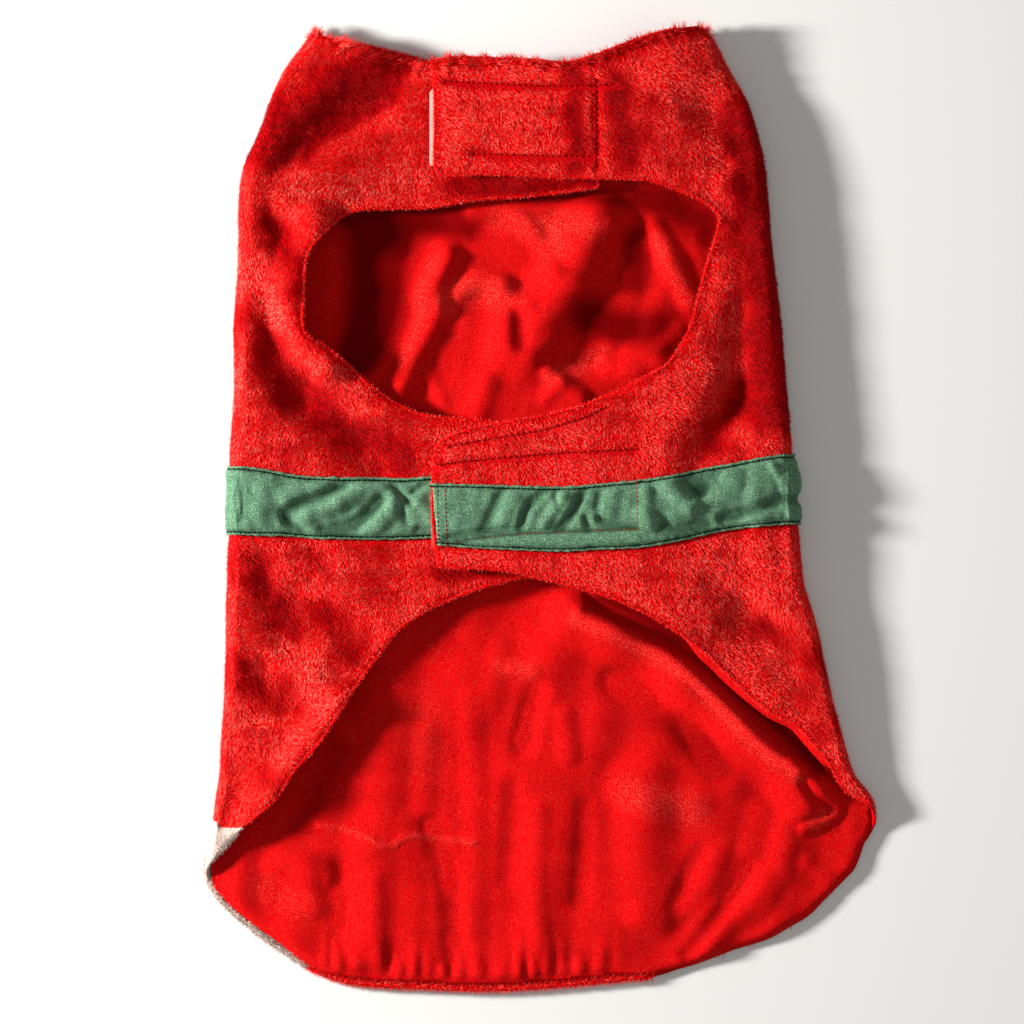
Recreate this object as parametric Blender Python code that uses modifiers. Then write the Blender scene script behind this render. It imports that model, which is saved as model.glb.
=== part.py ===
"""A lined plush dog coat with a satin belt, laid flat on its back with both straps closed.

The coat is a flattened tube. Its back lies on the surface, and each front turns over at a side fold and
reaches the middle as two straps, with the right strap lapped over the left one. Sizes are in millimetres
in the tables below and in metres in the scene: +X is the viewer's right, +Y the neck, +Z up.
"""

import math

import bpy
from mathutils import Vector
from mathutils.geometry import delaunay_2d_cdt

MM = 0.001

# Cloth walls
PLUSH = 3.0  # backing and laid pile together
PRESSED = 1.7  # the same plush under a band that is sewn down on it
SATIN = 1.0
TAPE = 1.0
SEAM = 0.3  # between neighbouring pieces

# How high the inner face of each front lies over the surface
LEFT_STRAP = 10.8
RIGHT_STRAP = 17.0

# The pattern: a half turn round a side fold takes this much of it, and a front goes on under the back
TURN = 78.0
UNDERLAP = 10.0
PATTERN_ROWS = (-200.0, 250.0)  # y from below to above every front

# How far apart a panel's points are: inside it, along its plain edges and along its rounder ones
STEP = 13.0
LINING_STEP = 12.0
BACK_STEP = 26.0
EDGE_STEP = 10.0
ROUND_STEP = 8.0
SHORTEST = 0.5  # as a share of the step, between a panel's edge and its first inner point
SHORTEST_GATHER = 0.25  # the same for the points of the gathers
TOUCH = 0.05  # points nearer than this are one
ON_EDGE = 0.01  # slack for a point that lies on an edge

ROW_CLEARANCE = 0.3  # as a share of the step, between a panel's end and its first row
SMOOTHING = 12  # points from one of a table's points to the next, before they are spaced evenly
SHARPEST = 0.3  # how far an edge's corner may carry a trim outward, as 1 / this

LEFT, RIGHT = -1, 1

# The flattened tube, a row for each section from neck to tail:
# y, x of the left fold, thickness there, x of the right fold, thickness there
SECTIONS = (
    (238, -115.0, 12.0, 84.0, 12.0),
    (231, -120.5, 12.5, 89.5, 12.5),
    (218, -130.0, 13.5, 96.0, 13.5),
    (202, -137.5, 15.0, 105.0, 15.0),
    (186, -143.0, 16.0, 110.0, 16.0),
    (170, -150.0, 16.5, 113.5, 16.5),
    (154, -152.5, 17.0, 115.0, 17.0),
    (122, -153.0, 17.0, 118.0, 17.0),
    (90, -155.0, 17.0, 121.5, 17.0),
    (58, -155.0, 17.0, 124.5, 17.0),
    (26, -157.0, 17.0, 127.0, 17.0),
    (-6, -157.5, 17.0, 130.0, 17.0),
    (-38, -158.5, 16.0, 133.0, 16.0),
    (-62, -159.0, 15.0, 140.0, 15.0),
    (-86, -159.5, 14.5, 145.0, 14.0),
    (-110, -161.0, 13.5, 151.0, 12.5),
    (-134, -162.5, 12.5, 158.5, 11.0),
    (-149, -164.5, 11.5, 168.5, 10.0),
    (-180, -169.0, 10.0, 168.5, 10.0),
)

# Edges of the left front, x and y seen from above
LEFT_NECK = ((-100, 232.5), (-85, 226), (-70, 221), (-55, 218.5), (-15, 217.5), (28, 218))
LEFT_STRAP_END = ((28, 218), (28, 160))
LEFT_OPENING = (
    (28, 160), (-2, 156), (-32, 154), (-55, 150), (-73, 149.5), (-89, 149), (-98, 146), (-107, 139),
    (-114, 131), (-117.5, 123), (-119, 102), (-118, 87), (-109, 80.5), (-99, 73), (-89, 64),
    (-78.5, 55), (-68.5, 50), (-58.5, 46), (-30, 43), (10, 39), (49, 36),
)
LEFT_BELLY_END = ((49, 36), (49, -35))
LEFT_TAIL = (
    (49, -35), (20, -34), (-5, -34), (-30, -40), (-43, -45), (-53, -49), (-63.5, -55), (-73.5, -63),
    (-80.5, -73), (-89, -84), (-99, -99), (-110, -116), (-123, -131), (-133, -145), (-149, -160),
    (-156.5, -169),
)

# Edges of the right front
RIGHT_NECK = (
    (-54.5, 222), (-43, 224), (-5, 223), (10, 221.5), (20, 223), (34, 228), (50, 234), (60, 237), (70, 239),
)
RIGHT_STRAP_END = ((-54.5, 222), (-55.5, 196), (-54.5, 171), (-50, 166))
RIGHT_OPENING = (
    (-50, 166), (-21, 166), (10, 164.5), (50, 163.5), (67, 159), (79, 154), (88.5, 146), (87.5, 136),
    (83, 122), (78.5, 105), (75, 91), (68, 78), (61.5, 70), (50, 64), (27, 53), (4, 46), (-30, 40),
    (-48, 34), (-53, 28),
)
RIGHT_BELLY_END = ((-53, 28), (-54, 10), (-53.5, -10), (-51, -29))
RIGHT_TAIL = (
    (-51, -29), (-40, -30), (-20, -31), (0, -35), (15, -39), (30, -43), (45, -49), (58.5, -56),
    (71, -64), (86, -76), (96, -86), (106, -95), (115, -102), (127, -108), (136, -118), (144.5, -128),
    (149.5, -138), (156, -145),
)

# Where each edge crosses a side fold: y on top of the fold, at its side and under it
NECK_CROSSING = {LEFT: (236, 238, 237), RIGHT: (240, 239, 237)}
HEM_CROSSING = {LEFT: (-176, -184, -192), RIGHT: (-148, -156, -165)}

# The back: its neck edge, its hem, and the seam where the white inset meets it
BACK_NECK = ((-96, 232), (-85, 230), (-75, 227.5), (-65, 225), (-52, 221.5), (-25, 217), (0, 215),
             (30, 218), (50, 225), (66, 233))
BACK_HEM = (
    (-110.5, -233), (-98, -237), (-80, -239), (-55, -240), (-25, -241), (10, -239), (40, -236), (57, -235),
    (75, -229), (97, -221), (113, -216), (124, -210), (134, -204), (142, -196), (149, -189), (154, -184),
)
INSET_HEM = ((-110.5, -233), (-120.5, -229), (-128, -224), (-138, -217), (-145.5, -211), (-153, -205),
             (-160, -199))
RIGHT_HEM_UNDER = ((154, -184), (157, -181), (159.5, -175), (161.5, -169))
INSET_SEAM_Y = -157.0
INSET_SEAM_END = (-110.5, -233)
INSET_SEAM_POINTS = 8
INSET_GAP = 0.42  # along x, where the seam with the back slants

# The belt: x, y of its upper edge and y of its lower edge, on each front
BELT = {
    LEFT: ((-157, 21.5, -13.5), (-140, 19.5, -14), (-120, 16, -15), (-95, 15, -16), (-70, 14.5, -16),
           (-46, 16.5, -15)),
    RIGHT: ((-52, 12, -19), (-30, 11.5, -20.5), (10, 10.5, -22), (30, 12, -21), (50, 14, -20),
            (70, 17, -16.5), (90, 21, -12), (110, 25, -9.5), (130, 28, -8)),
}
BELT_END = {LEFT: -46.0, RIGHT: -80.0}  # the right one runs off the strap's end, which cuts it
BELT_SLACK = 0.3  # the belt's edges run straight from point to point, this near their true line
BELT_RIM = 1.5  # from the band's edge to the pile that stands at full height
BELT_RUNS = ((0, BELT_RIM), (0, 0.0), (1, 0.0), (1, -BELT_RIM))  # which edge, and how far outside it

# Tapes of the two closures, loops on the left strap and hooks under the right: low x, high x, low y, high y
TAPES = {
    LEFT: {"neck_loop_tape": (-46.0, 25.0, 174.0, 210.0), "belly_loop_tape": (-44.0, 45.0, -15.0, 9.0)},
    RIGHT: {"neck_hook_tape": (-53.5, 27.0, 172.0, 211.0), "belly_hook_tape": (-51.0, 47.0, -17.0, 10.0)},
}

# Soft folds: start x and y, end x and y, half width, height (below 0 for a trough)
LEFT_FOLDS = (
    (-62, 212, -138, 172, 18, -3.0),
    (-140, 146, -122, 126, 16, -2.5),
    (-150, 101, -120, 56, 18, -3.0),
    (-120, 56, -78, 24, 18, -2.5),
    (-148, -28, -122, -64, 18, -2.2),
    (-118, -46, -88, -68, 16, -2.0),
    (-152, -78, -126, -96, 16, -2.0),
    (-154, -130, -128, -140, 14, 1.5),
)
RIGHT_FOLDS = (
    (36, 214, 100, 190, 18, -2.5),
    (60, 176, 106, 152, 14, 2.0),
    (102, 92, 97, 54, 18, -3.0),
    (97, 54, 72, 24, 18, -3.0),
    (100, -54, 142, -84, 18, -2.5),
    (112, -20, 118, 30, 16, 1.5),
)
LINING_FOLDS = (
    (-50, 124, -82, 62, 17, 5.0),
    (-48, 124, -20, 90, 17, 3.0),
    (-30, 110, -48, 56, 15, 2.0),
    (30, 138, 42, 98, 16, 3.0),
    (22, 88, 60, 70, 16, 3.5),
    (-100, 120, -104, 96, 15, 2.5),
    (17, -53, 50, -71, 14, 3.0),
    (50, -71, 80, -90, 14, 3.5),
    (80, -90, 104, -112, 14, 3.0),
    (104, -112, 140, -150, 14, 2.5),
    (-78, -96, -84, -214, 18, 2.5),
    (8, -76, 0, -216, 18, 2.5),
    (50, -136, 56, -200, 20, 3.0),
    (108, -192, 84, -216, 15, 2.0),
    (-128, -176, -92, -170, 15, 2.0),
)
FOLD_FADE = 16.0  # a front's folds die out this far from its side fold
STRAP_FLAT = {LEFT: (-86.0, -60.0), RIGHT: (90.0, 56.0)}  # and between these, towards the closures

# Gathers where the lining is eased on to the hem
GATHERS = 17
GATHER_PITCH = 8.6
GATHER_LENGTH = 26.0
GATHER_HEIGHT = 1.0
GATHER_UNEVEN = 0.25  # share by which their heights differ
GATHER_BEAT = 1.7  # radians of that difference from one gather to the next
GATHER_ROWS = (7.0, 13.0, 21.0)  # rows of points over the hem
GATHERS_START = -112.0

# The lining inside the side folds and along the edges
LINING_CORNER = 12.0  # how far short of the lower corner a front's lining ends, where the fold is tight
LINING_TURN = 20.0  # of pattern, for the stretch of the back's lining that turns up inside each side fold
LINING_ANGLE = math.radians(50)
LINING_EASE = 0.6  # how much nearer the middle it lies there
EDGE_SETBACK = 2.5  # from the plush edge to the lining's
EDGE_TRIM = 1.0  # the same on a front
TAIL_MIDDLE = (0.0, -60.0)

# Where each front leaves the height of its fold for that of its straps: from x, to x
LEFT_SLOPE = (-150.0, -62.0)
RIGHT_SLOPE = (105.0, 57.0)

COLOURS = {
    "red_plush": (0.62, 0.012, 0.010),
    "red_satin": (0.52, 0.006, 0.006),
    "green_satin": (0.075, 0.26, 0.135),
    "white_plush": (0.82, 0.70, 0.60),
    "tape": (0.72, 0.10, 0.08),
}
ROUGHNESS = {"red_plush": 0.9, "red_satin": 0.38, "green_satin": 0.35, "white_plush": 0.95, "tape": 0.85}


def smoothstep(value, start, end):
    """0 at start, 1 at end, with a soft change between them."""
    t = min(1.0, max(0.0, (value - start) / (end - start)))
    return t * t * (3 - 2 * t)


def along_table(rows, key, column):
    """The value of a column at a key, read smoothly between a table's rows. The first column holds the keys."""
    if rows[0][0] > rows[-1][0]:
        rows = rows[::-1]
    key = min(max(key, rows[0][0]), rows[-1][0])
    last = len(rows) - 1
    i = max(index for index in range(last) if rows[index][0] <= key)

    def slope(k):
        before, after = rows[max(k - 1, 0)], rows[min(k + 1, last)]
        return (after[column] - before[column]) / (after[0] - before[0])

    width = rows[i + 1][0] - rows[i][0]
    t = (key - rows[i][0]) / width
    return (
        rows[i][column] * (2 * t**3 - 3 * t**2 + 1)
        + rows[i + 1][column] * (3 * t**2 - 2 * t**3)
        + slope(i) * width * (t**3 - 2 * t**2 + t)
        + slope(i + 1) * width * (t**3 - t**2)
    )


def fold_values(side, y):
    """x of a side fold, and how thick the folded coat is there."""
    first = 1 if side == LEFT else 3
    return along_table(SECTIONS, y, first), along_table(SECTIONS, y, first + 1)


def fold_top(side, y):
    """x where a front starts to turn round its side fold."""
    fold_x, thickness = fold_values(side, y)
    return fold_x - side * thickness / 2


def soft_folds(table, x, y):
    """How far the folds of a table lift the cloth at a point."""
    lift = 0.0
    for x0, y0, x1, y1, width, height in table:
        start, run = Vector((x0, y0)), Vector((x1 - x0, y1 - y0))
        t = min(1.0, max(0.0, (Vector((x, y)) - start).dot(run) / run.length_squared))
        away = (Vector((x, y)) - start - run * t).length / width
        if away < 1:
            lift += height * (1 - away**2) ** 2
    return lift


def front_height(side, x, y):
    """The inner face of a front's plush, over the surface."""
    thickness = fold_values(side, y)[1]
    at_fold = thickness - PLUSH
    if side == LEFT:
        share = smoothstep(x, *LEFT_SLOPE)
        strap = LEFT_STRAP
        folds = soft_folds(LEFT_FOLDS, x, y)
    else:
        share = smoothstep(x, *RIGHT_SLOPE)
        strap = RIGHT_STRAP
        folds = soft_folds(RIGHT_FOLDS, x, y)
    near_fold = smoothstep(abs(x - fold_top(side, y)), 0, FOLD_FADE)
    near_strap = 1 - smoothstep(x, *STRAP_FLAT[side])
    return at_fold + (strap - at_fold) * share + folds * near_fold * near_strap


def front_point(side, p, y):
    """The inner face of a front's plush at a point of its pattern. p is above 0 on top of the coat, falls
    to -TURN round the fold, and goes on below that under the coat."""
    top_x = fold_top(side, y)
    middle = fold_values(side, y)[1] / 2
    radius = middle - PLUSH
    if p >= 0:
        x = top_x - side * p
        return Vector((x, y, front_height(side, x, y)))
    if p >= -TURN:
        angle = math.pi * -p / TURN
        return Vector((top_x + side * radius * math.sin(angle), y, middle + radius * math.cos(angle)))
    return Vector((top_x - side * (-p - TURN), y, PLUSH))


def on_top(side, x, y):
    """The pattern's point for a point that is seen from above."""
    return (-side * (x - fold_top(side, y)), y)


def underneath(side, x, y):
    """The pattern's point for a point under the coat."""
    return (-TURN + side * (x - fold_top(side, y)), y)


def curve(points, spacing):
    """Points about spacing apart on a smooth curve through the given ones."""
    knots = [Vector(point) for point in points]
    fine = []
    for i in range(len(knots) - 1):
        before = knots[i - 1] if i else 2 * knots[0] - knots[1]
        after = knots[i + 2] if i + 2 < len(knots) else 2 * knots[-1] - knots[-2]
        for k in range(SMOOTHING):
            t = k / SMOOTHING
            fine.append(
                0.5
                * (
                    2 * knots[i]
                    + (knots[i + 1] - before) * t
                    + (2 * before - 5 * knots[i] + 4 * knots[i + 1] - after) * t**2
                    + (3 * knots[i] - before - 3 * knots[i + 1] + after) * t**3
                )
            )
    fine.append(knots[-1])
    lengths = [0.0]
    for a, b in zip(fine, fine[1:]):
        lengths.append(lengths[-1] + (b - a).length)
    count = max(1, round(lengths[-1] / spacing))
    found, at = [], 0
    for k in range(count + 1):
        wanted = lengths[-1] * k / count
        while at < len(fine) - 2 and lengths[at + 1] < wanted:
            at += 1
        t = (wanted - lengths[at]) / (lengths[at + 1] - lengths[at])
        found.append(tuple(fine[at].lerp(fine[at + 1], t)))
    return found


def rows_between(low, high, step):
    """Values of y from low to high, on the same rows whatever the ends, so that neighbours match."""
    rows = [low]
    for k in range(math.ceil(low / step) - 1, math.floor(high / step) + 1):
        y = (k + 0.5) * step
        if low + step * ROW_CLEARANCE < y < high - step * ROW_CLEARANCE:
            rows.append(y)
    return rows + [high]


def join(*runs):
    """One closed outline from runs that share their ends."""
    outline = []
    for run in runs:
        for point in run:
            if not outline or (Vector(point) - Vector(outline[-1])).length > TOUCH:
                outline.append(tuple(point))
    if (Vector(outline[0]) - Vector(outline[-1])).length < TOUCH:
        outline.pop()
    return outline


def inside(point, outline):
    """Whether a point lies inside an outline."""
    x, y = point
    crossings = 0
    for (x0, y0), (x1, y1) in zip(outline, outline[1:] + outline[:1]):
        if (y0 > y) != (y1 > y) and x < x0 + (y - y0) / (y1 - y0) * (x1 - x0):
            crossings += 1
    return crossings % 2 == 1


def clearance(point, runs):
    """How far a point lies from the nearest of several runs of points."""
    nearest = math.inf
    at = Vector(point)
    for run in runs:
        for a, b in zip(run, run[1:]):
            start, along = Vector(a), Vector(b) - Vector(a)
            t = min(1.0, max(0.0, (at - start).dot(along) / along.length_squared))
            nearest = min(nearest, (at - start - along * t).length)
    return nearest


class Panel:
    """Cloth cut to an outline in its pattern, as triangles, with the place of each point in the coat."""

    def __init__(self, outline, lines, step, place, flipped, extra=()):
        """lines are runs that the triangles follow; place turns a point of the pattern to one of the coat."""
        runs = [outline + outline[:1], *lines]
        points, edges = [], []
        for run in runs:
            first = len(points)
            points += run
            edges += [(first + k, first + k + 1) for k in range(len(run) - 1)]
        low = [min(point[axis] for point in outline) for axis in (0, 1)]
        high = [max(point[axis] for point in outline) for axis in (0, 1)]
        columns = range(math.ceil(low[0] / step[0]), math.floor(high[0] / step[0]) + 1)
        rows = range(math.ceil(low[1] / step[1]) - 1, math.floor(high[1] / step[1]) + 1)
        grid = [(c * step[0], (r + 0.5) * step[1]) for c in columns for r in rows]
        for group, share in ((extra, SHORTEST_GATHER), (grid, SHORTEST)):
            for point in group:
                if inside(point, outline) and clearance(point, runs) > share * min(step):
                    points.append(point)
        made = delaunay_2d_cdt([Vector(p) for p in points], edges, [], 1, 1e-4, False)
        self.pattern = [tuple(p) for p in made[0]]
        within = [face for face in made[2] if inside(self.middle(face), outline)]
        self.faces = [tuple(reversed(face)) if flipped else tuple(face) for face in within]
        self.place = place
        self.points = [place(*p) for p in self.pattern]
        self.normals = [Vector() for _ in self.points]
        for face in self.faces:
            a, b, c = (self.points[i] for i in face)
            across = (b - a).cross(c - a)
            for i in face:
                self.normals[i] += across
        self.normals = [normal.normalized() for normal in self.normals]

    def middle(self, face):
        """The middle of a face in the pattern."""
        return sum((Vector(self.pattern[i]) for i in face), Vector((0, 0))) / 3

    def cloth(self, name, material, thickness, keep=None, moved=0.0, trim=0.0, seams_only=False, pressed=None):
        """An object cut from the faces that keep chooses, moved out from the panel, with a wall that grows
        away from it. trim pulls its edges in, or only its seams with the rest of the panel. pressed chooses
        the points where the pile is flattened."""
        faces = [face for face in self.faces if keep is None or keep(*self.middle(face))]
        uses, whole = {}, {}
        for table, group in ((uses, faces), (whole, self.faces)):
            for face in group:
                for k in range(3):
                    pair = (face[k], face[(k + 1) % 3])
                    table.setdefault(tuple(sorted(pair)), []).append((pair, face[(k + 2) % 3]))
        pull = {}
        for pair, found in uses.items():
            if len(found) > 1 or (seams_only and len(whole[pair]) < 2):
                continue
            (a, b), third = found[0]
            along = (Vector(self.pattern[b]) - Vector(self.pattern[a])).normalized()
            inward = Vector((-along.y, along.x))
            if inward.dot(Vector(self.pattern[third]) - Vector(self.pattern[a])) < 0:
                inward.negate()
            for i in (a, b):
                pull.setdefault(i, []).append(inward)
        used = sorted({i for face in faces for i in face})
        number = {i: k for k, i in enumerate(used)}
        corners = []
        for i in used:
            point = self.points[i]
            if i in pull and trim:
                total = sum(pull[i], Vector((0, 0)))
                spread = total / max(total.dot(pull[i][0]), SHARPEST)
                point = self.place(*(Vector(self.pattern[i]) + spread * trim))
            corners.append((point + self.normals[i] * moved) * MM)
        mesh = bpy.data.meshes.new(name)
        mesh.from_pydata(corners, [], [tuple(number[i] for i in face) for face in faces])
        mesh.shade_smooth()
        obj = bpy.data.objects.new(name, mesh)
        COLLECTION.objects.link(obj)
        mesh.materials.append(MATERIALS[material])
        wall = obj.modifiers.new("Wall", "SOLIDIFY")
        wall.thickness = abs(thickness) * MM
        wall.offset = math.copysign(1.0, thickness)
        if pressed:
            group = obj.vertex_groups.new(name="Pile")
            for i in used:
                group.add([number[i]], PRESSED / PLUSH if pressed(*self.pattern[i]) else 1.0, "REPLACE")
            wall.vertex_group = group.name
        return obj


def belt_edges(side, x):
    """y of the belt's upper and lower edge at an x of a front."""
    return along_table(BELT[side], x, 1), along_table(BELT[side], x, 2)


def pattern_x(side, p, y):
    """x of a point of a front's pattern as the belt reads it, held at the fold beyond the fold."""
    return fold_top(side, y) - side * max(p, 0.0)


def in_belt(side, p, y):
    """Whether a front's belt covers a point of its pattern."""
    upper, lower = belt_edges(side, pattern_x(side, p, y))
    return lower - BELT_SLACK < y < upper + BELT_SLACK and p < belt_reach(side) + BELT_SLACK


def belt_reach(side):
    """How far the belt runs in a front's pattern."""
    return on_top(side, BELT_END[side], 0.0)[0]


def belt_lines(side):
    """Lines of a front's pattern along the belt: both edges, and the rim of full pile outside each."""
    lines = []
    far = belt_reach(side)
    first = math.floor(-(TURN + UNDERLAP + STEP) / STEP)
    for column, rim in BELT_RUNS:
        line = []
        for k in range(first, math.ceil(far / STEP) + 1):
            p = min(k * STEP, far)
            y = belt_edges(side, pattern_x(side, p, 0.0))[column]
            y = belt_edges(side, pattern_x(side, p, y))[column] + rim
            line.append((p, y))
        lines.append(line)
    return lines


def boxed(side, tape):
    """A closed run round a tape, in a front's pattern."""
    low_x, high_x, low_y, high_y = tape
    middle = (low_x + high_x) / 2
    around = ((low_x, low_y), (middle, low_y), (high_x, low_y), (high_x, high_y), (middle, high_y),
              (low_x, high_y), (low_x, low_y))
    return [on_top(side, x, y) for x, y in around]


def in_tape(tape, side, p, y):
    """Whether a tape covers a point of a front's pattern."""
    low_x, high_x, low_y, high_y = tape
    x = fold_top(side, y) - side * p
    return low_x - ON_EDGE < x < high_x + ON_EDGE and low_y - ON_EDGE < y < high_y + ON_EDGE


def seen_from_above(side, points, spacing):
    """A smooth edge of a front, in its pattern."""
    return [on_top(side, x, y) for x, y in curve(points, spacing)]


def crossing(side, heights):
    """An edge as it turns round a side fold, from top to underside, in a front's pattern."""
    top, middle, under = heights
    count = round(TURN / STEP)
    found = []
    for k in range(count + 1):
        t = k / count
        y = top * (1 - t) * (1 - 2 * t) + middle * 4 * t * (1 - t) + under * t * (2 * t - 1)
        found.append((-TURN * t, y))
    return found


def inset_seam_under(offset):
    """The inset's seam with the back, under the coat, from the fold side to the hem."""
    start = Vector((fold_top(LEFT, INSET_SEAM_Y) + UNDERLAP, INSET_SEAM_Y))
    shares = [k / INSET_SEAM_POINTS for k in range(INSET_SEAM_POINTS + 1)]
    along = [start.lerp(Vector(INSET_SEAM_END), share) for share in shares]
    return [(point.x + offset, point.y) for point in along]


def level_line(low, high, y):
    """A level line across a front's pattern."""
    count = round((high - low) / EDGE_STEP)
    return [(low + (high - low) * k / count, y) for k in range(count + 1)]


def fold_lines():
    """The lines of a front's pattern half way and all the way round its side fold."""
    return [[(p, y) for y in rows_between(*PATTERN_ROWS, STEP)] for p in (-TURN / 2, -TURN)]


def left_front():
    """The left front's plush with the white inset, in one panel."""
    top_y = BACK_NECK[0][1]
    strip = [(-TURN - UNDERLAP, y) for y in rows_between(INSET_SEAM_Y, top_y, STEP)]
    outline = join(
        seen_from_above(LEFT, LEFT_NECK, STEP),
        seen_from_above(LEFT, LEFT_STRAP_END, STEP),
        seen_from_above(LEFT, LEFT_OPENING, ROUND_STEP),
        seen_from_above(LEFT, LEFT_BELLY_END, STEP),
        seen_from_above(LEFT, LEFT_TAIL, EDGE_STEP),
        crossing(LEFT, HEM_CROSSING[LEFT]),
        [underneath(LEFT, x, y) for x, y in curve(INSET_HEM, EDGE_STEP)][::-1],
        [underneath(LEFT, x, y) for x, y in inset_seam_under(0.0)][::-1],
        strip,
        crossing(LEFT, NECK_CROSSING[LEFT])[::-1],
    )
    edges = belt_lines(LEFT)
    belt_end = [edges[1][-1], edges[2][-1]]
    seam = level_line(-TURN - UNDERLAP - STEP, STEP * 4, INSET_SEAM_Y)
    tapes = [boxed(LEFT, tape) for tape in TAPES[LEFT].values()]
    lines = [*edges, belt_end, seam, *fold_lines(), *tapes]
    return Panel(outline, lines, (STEP, STEP), lambda p, y: front_point(LEFT, p, y), False)


def right_front():
    """The right front's plush, in one panel."""
    strip = [(-TURN - UNDERLAP, y) for y in rows_between(BACK_HEM[-1][1], BACK_NECK[-1][1], STEP)]
    outline = join(
        seen_from_above(RIGHT, RIGHT_NECK, STEP),
        crossing(RIGHT, NECK_CROSSING[RIGHT]),
        strip[::-1],
        [underneath(RIGHT, x, y) for x, y in curve(RIGHT_HEM_UNDER, ROUND_STEP)],
        crossing(RIGHT, HEM_CROSSING[RIGHT])[::-1],
        seen_from_above(RIGHT, RIGHT_TAIL, EDGE_STEP)[::-1],
        seen_from_above(RIGHT, RIGHT_BELLY_END, STEP)[::-1],
        seen_from_above(RIGHT, RIGHT_OPENING, ROUND_STEP)[::-1],
        seen_from_above(RIGHT, RIGHT_STRAP_END, ROUND_STEP)[::-1],
    )
    tapes = [boxed(RIGHT, tape) for tape in TAPES[RIGHT].values()]
    lines = [*belt_lines(RIGHT), *fold_lines(), *tapes]
    return Panel(outline, lines, (STEP, STEP), lambda p, y: front_point(RIGHT, p, y), True)


def under_belt_edges(x):
    """y of the belt's two edges under the coat, straight from side to side."""
    t = (x - BELT[LEFT][0][0]) / (BELT[RIGHT][-1][0] - BELT[LEFT][0][0])
    return [BELT[LEFT][0][k] * (1 - t) + BELT[RIGHT][-1][k] * t for k in (1, 2)]


def under_belt(x, y):
    """Whether the belt covers a point of the back."""
    upper, lower = under_belt_edges(x)
    return lower - ON_EDGE < y < upper + ON_EDGE


def back_sides(side, low, high):
    """The back's edge beside a front's underlap."""
    return [(fold_top(side, y) - side * (UNDERLAP + SEAM), y) for y in rows_between(low, high, STEP)]


def back():
    """The back's plush, flat on the surface."""
    left = back_sides(LEFT, INSET_SEAM_Y, BACK_NECK[0][1])
    right = back_sides(RIGHT, BACK_HEM[-1][1], BACK_NECK[-1][1])
    neck = [left[-1], *curve(BACK_NECK, EDGE_STEP)[1:-1], right[-1]]
    inset_seam = inset_seam_under(INSET_GAP)
    hem = [inset_seam[-1], *curve(BACK_HEM, EDGE_STEP)[1:-1], right[0]]
    outline = join(neck, right[::-1], hem[::-1], inset_seam[::-1], left)
    reach = math.ceil(-fold_values(LEFT, 0.0)[0] / BACK_STEP)
    stations = [k * BACK_STEP for k in range(-reach, reach + 1)]
    lines = [[(x, under_belt_edges(x)[column] + rim) for x in stations] for column, rim in BELT_RUNS]
    return Panel(outline, lines, (BACK_STEP, BACK_STEP), lambda x, y: Vector((x, y, PLUSH)), True)


def gathers(x, y):
    """How far the gathers lift the lining along the hem."""
    last = GATHERS_START + GATHERS * GATHER_PITCH
    if not GATHERS_START < x < last:
        return 0.0
    hem_y = along_table(BACK_HEM, x, 1)
    wave = 0.5 - 0.5 * math.cos(math.tau * (x - GATHERS_START) / GATHER_PITCH)
    beat = math.sin(GATHER_BEAT * (x - GATHERS_START) / GATHER_PITCH)
    uneven = 1 - GATHER_UNEVEN + GATHER_UNEVEN * beat
    reach = 1 - smoothstep(y - hem_y, GATHER_LENGTH / 3, GATHER_LENGTH)
    return GATHER_HEIGHT * wave * uneven * reach


def back_lining_point(x, y):
    """The lower face of the back's lining. Beyond each side fold's start it turns up inside the fold."""
    for side in (LEFT, RIGHT):
        beyond = side * (x - fold_top(side, y))
        if beyond > 0:
            middle = fold_values(side, y)[1] / 2
            angle = LINING_ANGLE * beyond / LINING_TURN
            radius = middle - PLUSH - SEAM
            reach = (radius - LINING_EASE * math.sin(angle)) * math.sin(angle)
            return Vector((fold_top(side, y) + side * reach, y, middle - radius * math.cos(angle)))
    inner = min(x - fold_top(LEFT, y), fold_top(RIGHT, y) - x)
    lift = soft_folds(LINING_FOLDS, x, y) * smoothstep(inner, 0, FOLD_FADE)
    return Vector((x, y, PLUSH + SEAM + lift + gathers(x, y)))


def back_lining():
    """The back's lining, with its folds and the gathers along the hem."""
    sides = {}
    for side in (LEFT, RIGHT):
        low, high = HEM_CROSSING[side][0] + LINING_CORNER, NECK_CROSSING[side][0] - 2 * EDGE_SETBACK
        sides[side] = [(fold_top(side, y) + side * LINING_TURN, y) for y in rows_between(low, high, STEP)]
    neck = [(x, y - EDGE_SETBACK) for x, y in curve(BACK_NECK, EDGE_STEP)]
    hem_points = (*INSET_HEM[::-1], *BACK_HEM[1:], *RIGHT_HEM_UNDER[1:])
    hem = []
    for x, y in curve(hem_points, GATHER_PITCH / 2):
        inward = (Vector(TAIL_MIDDLE) - Vector((x, y))).normalized() * EDGE_SETBACK
        hem.append((x + inward.x, y + inward.y))
    outline = join(neck, sides[RIGHT][::-1], hem[::-1], sides[LEFT])
    fine = []
    for k in range(2 * GATHERS + 1):
        x = GATHERS_START + k * GATHER_PITCH / 2
        fine += [(x, along_table(BACK_HEM, x, 1) + up) for up in GATHER_ROWS]
    step = (LINING_STEP, LINING_STEP)
    return Panel(outline, [], step, back_lining_point, False, extra=fine)


def principled(name):
    """A plain material in the cloth's colour."""
    material = bpy.data.materials.new(name)
    material.use_nodes = True
    shader = material.node_tree.nodes["Principled BSDF"]
    shader.inputs["Base Color"].default_value = (*COLOURS[name], 1.0)
    shader.inputs["Roughness"].default_value = ROUGHNESS[name]
    shader.inputs["Metallic"].default_value = 0.0
    material.diffuse_color = (*COLOURS[name], 1.0)
    return material


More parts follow.
